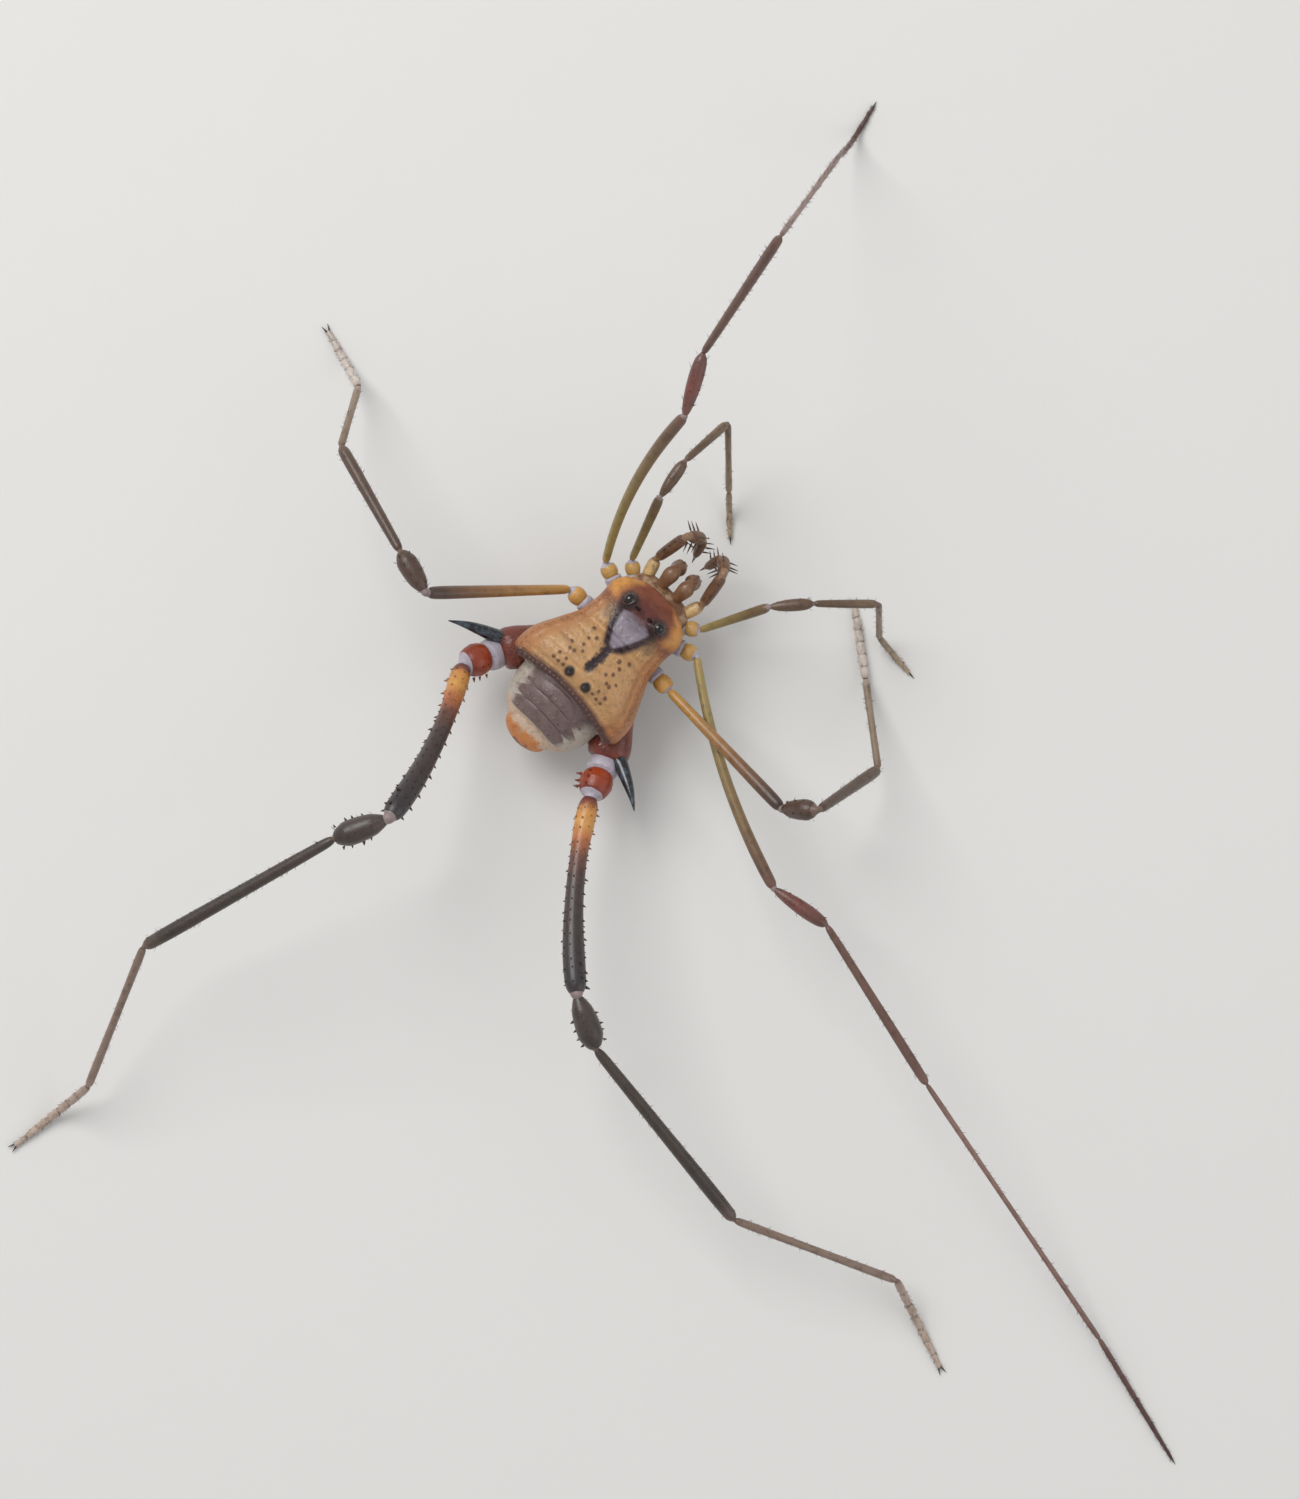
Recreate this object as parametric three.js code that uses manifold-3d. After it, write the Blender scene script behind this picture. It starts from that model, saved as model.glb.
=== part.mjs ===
// Armoured harvestman, adult male, standing life size on a level floor
// Millimetres. +X is the animal's right, +Y is forward, +Z is up.

import * as THREE from 'three';
import { mergeVertices } from 'three/addons/utils/BufferGeometryUtils.js';
import Module from 'manifold-3d';

const wasm = await Module();
wasm.setup();

// Driving sizes of the body
const SCUTUM_LENGTH = 6.2;
const SCUTUM_HALF_WIDTH = 3.4;
const SCUTUM_TOP = 5.9;
const SCUTUM_RIM = 3.9;
const RIM_THICKNESS = 0.3;
const REAR_BOW = 0.65;
const BELLY_HEIGHT = 2.1;
const PLATE_PITCH = 0.66;
const PLATE_DEPTH = 0.5;
const PLATE_THICKNESS = 0.5;
const PLATE_HALF_WIDTHS = [2.3, 2.1, 1.75];
const EYE_RADIUS = 0.3;
const EYE_CENTRE = [0.92, 4.98, 5.52];
const EYE_ROUGHNESS = 0.1;
const MOUND_CENTRE = [0, 4.95, 5.1];
const MOUND_HALF_SIZES = [1.25, 0.62, 0.62];
const COXA_THICKNESS = 0.95;
const TROCHANTER_REACH = 0.5;
const THORN_LEAN = 0.3;
const BUMP_ROOT = 0.12;
const MITRE_ROOM = 0.12;

// The fourth coxa from its hidden root to its end, and its large black spine, for the right side
const FOURTH_COXA = [[2.35, 2.1, 2.55], [3.6, -1.08, 2.6]];
const SPINE_ROOT = [3.7, -0.4, 2.85];
const SPINE_LENGTH = 2.8;

// Ring-like joints of each tarsus, the share of it after which it lies flat, and the length of its claws
const TARSUS_JOINTS = { 1: 5, 2: 10, 3: 6, 4: 7 };
const TARSUS_FLAT_FROM = 0.72;
const CLAW_LENGTH = 0.34;

// Rows of bumps on the back: distance ahead of the rear edge, inner and outer place,
// and bumps on each side
const BACK_ROWS = [
  [0.95, 1.1, 1.45, 2],
  [1.45, 1.35, 1.75, 2],
  [1.85, 0.75, 1.06, 2],
  [2.2, 1.6, 1.6, 1],
  [2.65, 0.75, 0.75, 1],
];
const SIDE_BUMPS = 7;
const REAR_BUMPS = 5;

// Clear spaces between neighbouring pieces
const JOINT_GAP = 0.3;
const PLATE_GAP = 0.16;
const EYE_GAP = 0.08;

// Leg segment lengths, one row for each pair of legs
const LEG_LENGTHS = {
  1: { femur: 4.3, patella: 2.0, tibia: 3.1, metatarsus: 4.6, tarsus: 2.4 },
  2: { femur: 11.3, patella: 2.9, tibia: 8.6, metatarsus: 15.3, tarsus: 6.8 },
  3: { femur: 8.0, patella: 2.2, tibia: 6.2, metatarsus: 4.8, tarsus: 3.6 },
  4: { femur: 9.4, patella: 2.6, tibia: 10.4, metatarsus: 8.3, tarsus: 5.4 },
};

// Greatest thickness of each leg segment
const LEG_WIDTHS = {
  1: { trochanter: 0.8, femur: 0.56, patella: 0.66, tibia: 0.54, metatarsus: 0.5, tarsus: 0.5 },
  2: { trochanter: 0.9, femur: 0.62, patella: 0.76, tibia: 0.56, metatarsus: 0.5, tarsus: 0.5 },
  3: { trochanter: 0.95, femur: 0.68, patella: 1.05, tibia: 0.66, metatarsus: 0.5, tarsus: 0.54 },
  4: { trochanter: 1.35, femur: 1.12, patella: 1.26, tibia: 0.72, metatarsus: 0.52, tarsus: 0.52 },
};

// Where each leg leaves its trochanter, given for the right side
const HIPS = {
  1: [2.25, 6.35, 3.2],
  2: [3.0, 5.4, 3.2],
  3: [3.25, 3.4, 3.2],
  4: [4.2, -2.55, 3.6],
};

// Stance, in degrees: heading outwards from straight ahead, then rise above the level.
// A tarsus has only a heading, because it comes down to the floor.
const STANCE = {
  leg_1_left: {
    femur: [20, 46], patella: [11, 0], tibia: [-1, -30], metatarsus: [-132, -50], tarsus: -132,
  },
  leg_1_right: {
    femur: [27, 41], patella: [40, 0], tibia: [44, -15], metatarsus: [123, -72], tarsus: 93,
  },
  leg_2_left: {
    femur: [15, 52], patella: [29, 16], tibia: [9, 52], metatarsus: [16, -66], tarsus: 15,
  },
  leg_2_right: {
    femur: [116, 8], patella: [79, 5], tibia: [102, -3], metatarsus: [100, -15], tarsus: 103,
  },
  leg_3_left: {
    femur: [139, 37], patella: [77, -5], tibia: [76, -24], metatarsus: [36, -50], tarsus: 75,
  },
  leg_3_right: {
    femur: [91, 22], patella: [45, 44], tibia: [13, -56], metatarsus: [-52, -28], tarsus: -54,
  },
  leg_4_left: {
    femur: [202, 36], patella: [156, -8], tibia: [165, -14], metatarsus: [201, -28], tarsus: 174,
  },
  leg_4_right: {
    femur: [138, 17], patella: [115, -7], tibia: [96, -12], metatarsus: [66, -12], tarsus: 108,
  },
};

// Thickness along a segment, from its base to its far end, as shares of its greatest
const FORMS = {
  femur: [0.66, 0.74, 0.82, 0.9, 0.96, 1, 0.86],
  patella: [0.62, 0.82, 1, 1, 0.8],
  tibia: [0.78, 0.84, 0.9, 0.96, 1, 0.84],
  metatarsus: [1, 0.96, 0.96, 0.98, 1],
};

// Sideways bow of each femur, as a share of its length, to the rear and inwards
const FEMUR_BOW = { 1: 0, 2: 0.045, 3: 0, 4: 0.045 };

const COLOURS = {
  scutum: 0xa57d50,
  venter: 0x6e4a34,
  free_tergite: 0x73625f,
  anal_operculum: 0xb97d4b,
  eye: 0x14100e,
  chelicera: 0x8a6a4c,
  coxa: 0x6b2c1b,
  pedipalp: 0x7a5a3c,
  trochanter: 0xa5461f,
  femur: 0x9a6a35,
  patella: 0x4b3a34,
  tibia: 0x4f3f35,
  metatarsus: 0x7c6a57,
  tarsus: 0xa89880,
};

// Small helpers

const radians = THREE.MathUtils.degToRad;

function vector([x, y, z]) {
  return new THREE.Vector3(x, y, z);
}

function mirrored([x, y, z], side) {
  return new THREE.Vector3(x * side, y, z);
}

// Smooth curve through a few [place, value] pairs, with the places rising
function profile(pairs) {
  const knots = pairs.map(([at, value]) => new THREE.Vector2(at, value));
  return (at) => {
    if (at <= knots[0].x) {
      return knots[0].y;
    }
    for (let i = 1; i < knots.length; i += 1) {
      if (at > knots[i].x) {
        continue;
      }
      const share = (at - knots[i - 1].x) / (knots[i].x - knots[i - 1].x);
      const eased = (share + THREE.MathUtils.smoothstep(share, 0, 1)) / 2;
      return THREE.MathUtils.lerp(knots[i - 1].y, knots[i].y, eased);
    }
    return knots[knots.length - 1].y;
  };
}

function between(values, share) {
  const at = share * (values.length - 1);
  const low = Math.min(Math.floor(at), values.length - 2);
  return THREE.MathUtils.lerp(values[low], values[low + 1], at - low);
}

// The faces that close a ring of points, in strips between its two halves
function capFaces(start, count, turned) {
  const faces = [];
  const add = (a, b, c) => faces.push(start + a, start + (turned ? c : b), start + (turned ? b : c));
  let high = count - 1;
  for (let low = 0; low + 1 < high; low += 1) {
    add(low, low + 1, high);
    if (low + 2 < high) {
      add(low + 1, high - 1, high);
    }
    high -= 1;
  }
  return faces;
}

// A closed skin over a row of rings that all have the same number of points
function loft(rings) {
  const count = rings[0].length;
  const positions = rings.flat().flatMap((point) => [point.x, point.y, point.z]);
  const faces = [];
  for (let ring = 0; ring + 1 < rings.length; ring += 1) {
    for (let i = 0; i < count; i += 1) {
      const a = ring * count + i;
      const b = ring * count + ((i + 1) % count);
      faces.push(a, b, a + count, b, b + count, a + count);
    }
  }
  const geometry = new THREE.BufferGeometry();
  geometry.setAttribute('position', new THREE.Float32BufferAttribute(positions, 3));
  const start = capFaces(0, count, true);
  const end = capFaces((rings.length - 1) * count, count, false);
  geometry.setIndex([...faces, ...start, ...end]);
  return geometry;
}

// Solid joins and cuts

function toSolid(geometry) {
  const bare = geometry.clone();
  bare.deleteAttribute('normal');
  bare.deleteAttribute('uv');
  const merged = mergeVertices(bare, 1e-5);
  const vertProperties = new Float32Array(merged.attributes.position.array);
  const triVerts = new Uint32Array(merged.index.array);
  return new wasm.Manifold(new wasm.Mesh({ numProp: 3, vertProperties, triVerts }));
}

function toGeometry(solid) {
  const bodies = solid.decompose();
  const largest = bodies.reduce((best, body) => (body.volume() > best.volume() ? body : best));
  const mesh = largest.getMesh();
  const geometry = new THREE.BufferGeometry();
  geometry.setAttribute('position', new THREE.BufferAttribute(new Float32Array(mesh.vertProperties), 3));
  geometry.setIndex(new THREE.BufferAttribute(new Uint32Array(mesh.triVerts), 1));
  return geometry;
}

function join(geometries) {
  return toGeometry(geometries.map(toSolid).reduce((whole, piece) => whole.add(piece)));
}

function cut(geometry, tools) {
  return toGeometry(tools.map(toSolid).reduce((whole, tool) => whole.subtract(tool), toSolid(geometry)));
}

// Directions: heading clockwise from straight ahead, seen from above, and rise

function direction(heading, rise) {
  const level = Math.cos(radians(rise));
  return new THREE.Vector3(
    Math.sin(radians(heading)) * level,
    Math.cos(radians(heading)) * level,
    Math.sin(radians(rise)),
  );
}

function aim(heading, rise) {
  return new THREE.Quaternion().setFromEuler(new THREE.Euler(radians(rise), 0, -radians(heading), 'ZXY'));
}

function headingOf(way) {
  return THREE.MathUtils.radToDeg(Math.atan2(way.x, way.y));
}

function riseOf(way) {
  return THREE.MathUtils.radToDeg(Math.asin(way.z / way.length()));
}

// A ring of points round a centre, square to a way, with a flat side below
function ring(centre, radius, sides, flatness = 1, way = new THREE.Vector3(0, 1, 0)) {
  const right = way.clone().cross(new THREE.Vector3(0, 0, 1)).normalize();
  const up = right.clone().cross(way).normalize();
  return Array.from({ length: sides }, (_, i) => {
    const angle = ((i + 0.5) / sides) * Math.PI * 2;
    return centre.clone()
      .addScaledVector(right, -radius * Math.sin(angle))
      .addScaledVector(up, -radius * flatness * Math.cos(angle));
  });
}

// A limb along +Y whose ends are cut along the planes it shares with its neighbours
function limb(options) {
  const { length, width, form, sides = 8, bow = 0, flatness = 1, gap = JOINT_GAP } = options;
  const along = new THREE.Vector3(0, 1, 0);
  const radius = width / 2;
  const planes = [options.startPlane ?? along, options.endPlane ?? along];
  const reach = planes.map((plane) => (
    radius * Math.tan(Math.acos(Math.min(1, plane.y))) + MITRE_ROOM + gap / 2
  ));
  const steps = form.length - 1;
  const rings = [];
  for (let i = 0; i <= steps; i += 1) {
    const share = i / steps;
    const y = share * length;
    const inner = i > 0 && i < steps;
    if (inner && (y < reach[0] || length - y < reach[1])) {
      continue;
    }
    const centre = new THREE.Vector3(4 * bow * length * share * (1 - share), y, 0);
    const points = ring(centre, radius * form[i], sides, flatness);
    if (!inner) {
      const plane = planes[i === 0 ? 0 : 1];
      const offset = i === 0 ? gap / 2 : -gap / 2;
      const joint = new THREE.Vector3(0, y, 0);
      for (const point of points) {
        const depth = plane.dot(point.clone().sub(joint));
        point.y += (offset - depth) / plane.y;
      }
    }
    rings.push(points);
  }
  return loft(rings);
}

// The plane that two neighbouring segments share, seen from the frame of one of them
function sharedPlane(before, after, frame) {
  return before.clone().add(after).normalize().applyQuaternion(frame.clone().invert());
}

function ellipsoid(centre, halfSizes, across = 10, down = 6) {
  return new THREE.SphereGeometry(1, across, down)
    .rotateX(Math.PI / 2)
    .scale(halfSizes.x, halfSizes.y, halfSizes.z)
    .translate(centre.x, centre.y, centre.z);
}

// A tapering round peg from one point to another
function peg(from, to, startRadius, endRadius, sides = 7) {
  const way = to.clone().sub(from);
  const geometry = new THREE.CylinderGeometry(endRadius, startRadius, way.length(), sides);
  geometry.translate(0, way.length() / 2, 0);
  const turn = new THREE.Quaternion().setFromUnitVectors(new THREE.Vector3(0, 1, 0), way.normalize());
  geometry.applyQuaternion(turn);
  return geometry.translate(from.x, from.y, from.z);
}

// A pointed spine from its root to its tip
function thorn(root, tip, radius, sides = 5) {
  return peg(root, tip, radius, 0, sides);
}

// A horn that curves towards a second way on its way out
function horn({ root, way, hook, length, radii, sides }) {
  const steps = radii.length - 1;
  const rings = radii.map((radius, i) => {
    const share = i / steps;
    const centre = root.clone()
      .addScaledVector(way, length * share)
      .addScaledVector(hook, length * share ** 3);
    const tangent = way.clone().addScaledVector(hook, 3 * share ** 2).normalize();
    return ring(centre, radius, sides, 1, tangent);
  });
  return loft(rings);
}

// Small numbers that vary from one bump to the next, the same on every run
function variation(seed) {
  let state = seed;
  return () => {
    state = (state * 16807) % 2147483647;
    return 0.8 + 0.4 * (state / 2147483647);
  };
}

// A row of small thorns along a limb, standing out at an angle round it
function thornRow(options) {
  const { length, width, form, flatness = 1, bow = 0 } = options;
  const { from, to, count, angle, height, base, seed } = options;
  const vary = variation(seed);
  const turn = radians(angle);
  return Array.from({ length: count }, (_, i) => {
    const share = THREE.MathUtils.lerp(from, to, count > 1 ? i / (count - 1) : 0);
    const radius = (width / 2) * between(form, share);
    const out = new THREE.Vector3(Math.sin(turn), 0, Math.cos(turn) * flatness);
    const axis = new THREE.Vector3(4 * bow * length * share * (1 - share), share * length, 0);
    const rise = height * vary();
    const root = axis.clone().addScaledVector(out, radius * 0.55);
    const tip = axis.clone().addScaledVector(out, radius + rise);
    tip.y += THORN_LEAN * rise;
    return thorn(root, tip, base * vary());
  });
}

const animal = new THREE.Group();

function addMesh(name, geometry, colour, parent = animal, roughness = 0.5) {
  const material = new THREE.MeshStandardMaterial({ color: colour, roughness, metalness: 0 });
  const mesh = new THREE.Mesh(geometry, material);
  mesh.name = name;
  parent.add(mesh);
  return mesh;
}

// Body

const scutumWidth = profile([
  [0, 3.2], [0.5, SCUTUM_HALF_WIDTH], [1.2, 3.3], [2.5, 2.55], [3.1, 2.2],
  [4.4, 2.1], [5.0, 2.2], [5.6, 1.95], [6.0, 1.3], [SCUTUM_LENGTH, 0.7],
]);
const scutumTop = profile([
  [0, 5.35], [1.2, SCUTUM_TOP], [2.6, 5.6], [3.2, 5.35], [4.4, 5.3], [5.4, 4.9], [SCUTUM_LENGTH, 4.3],
]);
const scutumRim = profile([[0, SCUTUM_RIM], [3.2, SCUTUM_RIM - 0.1], [SCUTUM_LENGTH, SCUTUM_RIM]]);

// The rear edges of the scutum and of the free plates all bow forwards in the middle
function rearBow(x, y) {
  const fade = THREE.MathUtils.clamp(1 - y / 2.4, 0, 1);
  return -REAR_BOW * fade * (x / SCUTUM_HALF_WIDTH) ** 2;
}

function scutumRing(y) {
  const half = scutumWidth(y);
  const rim = scutumRim(y);
  const rise = scutumTop(y) - rim;
  const arc = 12;
  const above = [];
  const below = [];
  for (let i = 0; i <= arc; i += 1) {
    const angle = (i / arc) * Math.PI;
    const x = -half * Math.sign(Math.cos(angle)) * Math.abs(Math.cos(angle)) ** 0.85;
    const back = y + rearBow(x, y);
    above.push(new THREE.Vector3(x, back, rim + rise * Math.sin(angle) ** 0.8));
    below.unshift(new THREE.Vector3(x * 0.96, back, rim - RIM_THICKNESS));
  }
  return [...above, ...below];
}

// Height of the smooth scutum above a point
function scutumHeight(x, y) {
  const edge = Math.min(1, Math.abs(x) / scutumWidth(y)) ** (1 / 0.85);
  const rim = scutumRim(y);
  return rim + (scutumTop(y) - rim) * Math.sqrt(1 - edge ** 2) ** 0.8;
}

function scutumBump(x, y, height, radius) {
  const foot = scutumHeight(x, y);
  const back = y + rearBow(x, y);
  const root = new THREE.Vector3(x, back, foot - BUMP_ROOT);
  return thorn(root, new THREE.Vector3(x, back, foot + height), radius, 6);
}

// Pairs of bumps in rows across the back, a row along each side and one along the rear edge
function scutumBumps() {
  const vary = variation(7);
  const bumps = [];
  const addPair = (x, y, height, radius) => {
    bumps.push(scutumBump(x, y, height, radius), scutumBump(-x, y, height, radius));
  };
  addPair(0.48, 0.77, 0.34, 0.24);
  addPair(0.34, 4.95, 0.6, 0.2);
  for (const [y, inner, outer, count] of BACK_ROWS) {
    for (let i = 0; i < count; i += 1) {
      const x = THREE.MathUtils.lerp(inner, outer, count > 1 ? i / (count - 1) : 0);
      addPair(x, y + 0.04 * i, 0.13 * vary(), 0.15);
    }
  }
  for (let i = 0; i < SIDE_BUMPS; i += 1) {
    const y = THREE.MathUtils.lerp(0.35, 4.2, i / (SIDE_BUMPS - 1));
    addPair(scutumWidth(y) * 0.88, y, 0.15 * vary(), 0.16);
  }
  for (let i = 0; i < REAR_BUMPS; i += 1) {
    addPair(THREE.MathUtils.lerp(0.25, 2.6, i / (REAR_BUMPS - 1)), 0.2, 0.14 * vary(), 0.15);
  }
  return bumps;
}

function buildScutum() {
  const steps = 16;
  const rings = Array.from({ length: steps + 1 }, (_, i) => scutumRing((SCUTUM_LENGTH * i) / steps));
  const shell = loft(rings);
  const mound = ellipsoid(vector(MOUND_CENTRE), vector(MOUND_HALF_SIZES), 14, 8);
  const sockets = [-1, 1].map((side) => (
    new THREE.SphereGeometry(EYE_RADIUS + EYE_GAP, 12, 8).translate(...eyeCentre(side).toArray())
  ));
  addMesh('scutum', cut(join([shell, mound, ...scutumBumps()]), sockets), COLOURS.scutum);
}

function eyeCentre(side) {
  return mirrored(EYE_CENTRE, side);
}

function buildEyes() {
  for (const [word, side] of [['left', -1], ['right', 1]]) {
    const ball = new THREE.SphereGeometry(EYE_RADIUS, 12, 8);
    const mesh = addMesh(`eye_${word}`, ball, COLOURS.eye, animal, EYE_ROUGHNESS);
    mesh.position.copy(eyeCentre(side));
  }
}

// Upper surface of the free rear part, whose plates step down towards the tail
const rearTop = profile([[-2.4, 3.75], [-1.5, 4.6], [-0.8, 5.0], [-PLATE_GAP, 5.15]]);

function rearHeight(x, y) {
  return rearTop(y) - 0.26 * x ** 2;
}

const venterWidth = profile([
  [-2.3, 1.15], [-1.9, 1.65], [-1.1, 2.15], [-0.3, 1.9], [1, 1.5],
  [2.2, 1.45], [3.2, 1.8], [5.2, 1.6], [5.9, 1.1],
]);

function venterRing(y) {
  const half = venterWidth(y);
  const floor = BELLY_HEIGHT + 0.25 * (Math.abs(y - 1.8) / 4) ** 2 + (y < -1 ? 0.35 * (-1 - y) : 0);
  const lift = y < -PLATE_GAP ? 1 : 0;
  const under = SCUTUM_RIM - RIM_THICKNESS - JOINT_GAP - 0.05;
  const topAt = (x) => (lift ? rearHeight(x, y) - PLATE_THICKNESS - PLATE_GAP : under);
  const wide = topAt(half);
  const belt = (wide + floor) / 2;
  return [
    [-half, wide], [-half * 0.5, topAt(half * 0.5)], [half * 0.5, topAt(half * 0.5)], [half, wide],
    [half * 1.05, belt], [half * 0.6, floor], [-half * 0.6, floor], [-half * 1.05, belt],
  ].map(([x, z]) => new THREE.Vector3(x, y + rearBow(x, y), z));
}

// Where the hidden inner end of a coxa lies
function coxaRoot(pair, side) {
  return new THREE.Vector3(side * 0.6, THREE.MathUtils.lerp(3.6, HIPS[pair][1], 0.55), 2.7);
}

function buildVenter() {
  const places = [-2.3, -1.9, -1.5, -1.1, -0.7, -0.3, -PLATE_GAP + 0.01, 1, 2.2, 3.2, 4.4, 5.2, 5.9];
  const rings = places.map(venterRing);
  const coxae = [];
  for (const side of [-1, 1]) {
    for (const pair of [1, 2, 3]) {
      const hip = mirrored(HIPS[pair], side);
      const root = coxaRoot(pair, side);
      const way = hip.clone().sub(root);
      const length = way.length() - TROCHANTER_REACH - JOINT_GAP;
      const build = { width: COXA_THICKNESS, form: [1, 1.05, 1, 0.85], flatness: 0.9 };
      const piece = limb({ ...build, length, gap: 0 });
      piece.applyQuaternion(aim(headingOf(way), riseOf(way)));
      coxae.push(piece.translate(root.x, root.y, root.z));
    }
  }
  addMesh('venter', join([loft(rings), ...coxae]), COLOURS.venter);
}

// Free plates behind the scutum, each one narrower and lower than the last
function buildFreeTergites() {
  PLATE_HALF_WIDTHS.forEach((half, i) => {
    const front = -PLATE_GAP - PLATE_PITCH * i;
    const steps = 10;
    const rings = Array.from({ length: steps + 1 }, (_, k) => {
      const x = half * (1 - (2 * k) / steps);
      const rear = front - PLATE_DEPTH * (1 - 0.5 * (x / half) ** 6);
      const shift = rearBow(x, 0);
      const corner = (y, lift) => new THREE.Vector3(x, y + shift, rearHeight(x, y) + lift);
      return [
        corner(front, 0),
        corner(front, -PLATE_THICKNESS),
        corner(rear, -PLATE_THICKNESS),
        corner(rear, 0.12),
        corner((front + rear) / 2, 0.1),
      ];
    });
    addMesh(`free_tergite_${i + 1}`, loft(rings), COLOURS.free_tergite);
  });
}

function buildAnalOperculum() {
  const geometry = ellipsoid(vector([0, 0, 0]), vector([1.1, 0.62, 0.4]), 12, 8);
  const mesh = addMesh('anal_operculum', geometry, COLOURS.anal_operculum);
  mesh.rotation.x = radians(42);
  mesh.position.set(0, -2.75, 3.0);
}

function buildChelicerae() {
  for (const [word, side] of [['left', -1], ['right', 1]]) {
    const base = peg(mirrored([0.45, 6.45, 3.35], side), mirrored([0.48, 7.3, 3.75], side), 0.3, 0.36, 8);
    const hand = ellipsoid(mirrored([0.46, 7.5, 3.25], side), vector([0.34, 0.38, 0.66]), 10, 7);
    const fixed = peg(mirrored([0.4, 7.5, 2.8], side), mirrored([0.28, 7.45, 2.15], side), 0.2, 0.06, 6);
    const hinge = mirrored([0.58, 7.55, 2.85], side);
    const moving = peg(hinge, mirrored([0.42, 7.6, 2.15], side), 0.18, 0.05, 6);
    const bumps = [0, 1, 2].map((i) => thorn(
      mirrored([0.4 + 0.08 * i, 7.55 + 0.05 * i, 3.5 - 0.2 * i], side),
      mirrored([0.42 + 0.1 * i, 7.98, 3.75 - 0.28 * i], side),
      0.12,
    ));
    addMesh(`chelicera_${word}`, join([base, hand, fixed, moving, ...bumps]), COLOURS.chelicera);
  }
}

// A chain of limbs through points, each cut square to the plane it shares with the next

function chainPiece(points, i, options) {
  const way = points[i + 1].clone().sub(points[i]);
  const unit = way.clone().normalize();
  const frame = aim(headingOf(way), riseOf(way));
  const before = i > 0 ? points[i].clone().sub(points[i - 1]).normalize() : unit;
  const after = i + 2 < points.length ? points[i + 2].clone().sub(points[i + 1]).normalize() : unit;
  const geometry = limb({
    ...options,
    length: way.length(),
    startPlane: sharedPlane(before, unit, frame),
    endPlane: sharedPlane(unit, after, frame),
  });
  return { geometry, frame, place: points[i] };
}

// Grasping spines along the two inner faces and the outer face of a pedipalp segment
function pedipalpSpines(part, side, options, length) {
  const rows = {
    femur: [{ angle: 160, count: 3, from: 0.3, to: 0.75, height: 0.24 }],
    tibia: [
      { angle: side * -115, count: 3, from: 0.3, to: 0.86, height: 0.5 },
      { angle: side * 120, count: 2, from: 0.45, to: 0.82, height: 0.5 },
    ],
    tarsus: [
      { angle: side * -110, count: 2, from: 0.3, to: 0.6, height: 0.42 },
      { angle: side * 115, count: 2, from: 0.3, to: 0.6, height: 0.42 },
    ],
  };
  return rows[part].flatMap((row, i) => (
    thornRow({ ...options, ...row, length, base: 0.13, seed: 31 + i })
  ));
}

function buildPedipalps() {
  for (const [word, side] of [['left', -1], ['right', 1]]) {
    const points = [[1.5, 7.2, 3.35], [1.2, 8.9, 4.6], [0.62, 9.4, 3.45], [0.34, 8.55, 2.35]]
      .map((point) => mirrored(point, side));
    const pieces = [
      ['femur', { width: 0.62, form: [0.8, 0.95, 1, 0.9] }],
      ['tibia', { width: 0.68, form: [0.8, 1, 1, 0.85] }],
      ['tarsus', { width: 0.56, form: [0.85, 1, 0.8, 0.4] }],
    ];
    pieces.forEach(([part, options], i) => {
      const { geometry, frame, place } = chainPiece(points, i, options);
      const length = points[i + 1].distanceTo(points[i]);
      const extras = pedipalpSpines(part, side, options, length);
      if (part === 'tarsus') {
        extras.push(horn({
          root: new THREE.Vector3(0, length - 0.3, 0),
          way: new THREE.Vector3(0, 1, 0),
          hook: new THREE.Vector3(0, 0, -0.45),
          length: 0.75,
          radii: [0.1, 0.09, 0.06, 0.02],
          sides: 5,
        }));
      }
      if (part === 'femur') {
        const inverse = frame.clone().invert();
        const foot = mirrored([1.25, 6.45, 3.1], side).sub(place).applyQuaternion(inverse);
        extras.push(peg(foot, new THREE.Vector3(), 0.3, 0.34, 8));
        extras.push(ellipsoid(new THREE.Vector3(), new THREE.Vector3(0.36, 0.38, 0.36), 10, 6));
      }
      const mesh = addMesh(`pedipalp_${part}_${word}`, join([geometry, ...extras]), COLOURS.pedipalp);
      mesh.quaternion.copy(frame);
      mesh.position.copy(place);
    });
  }
}

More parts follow.
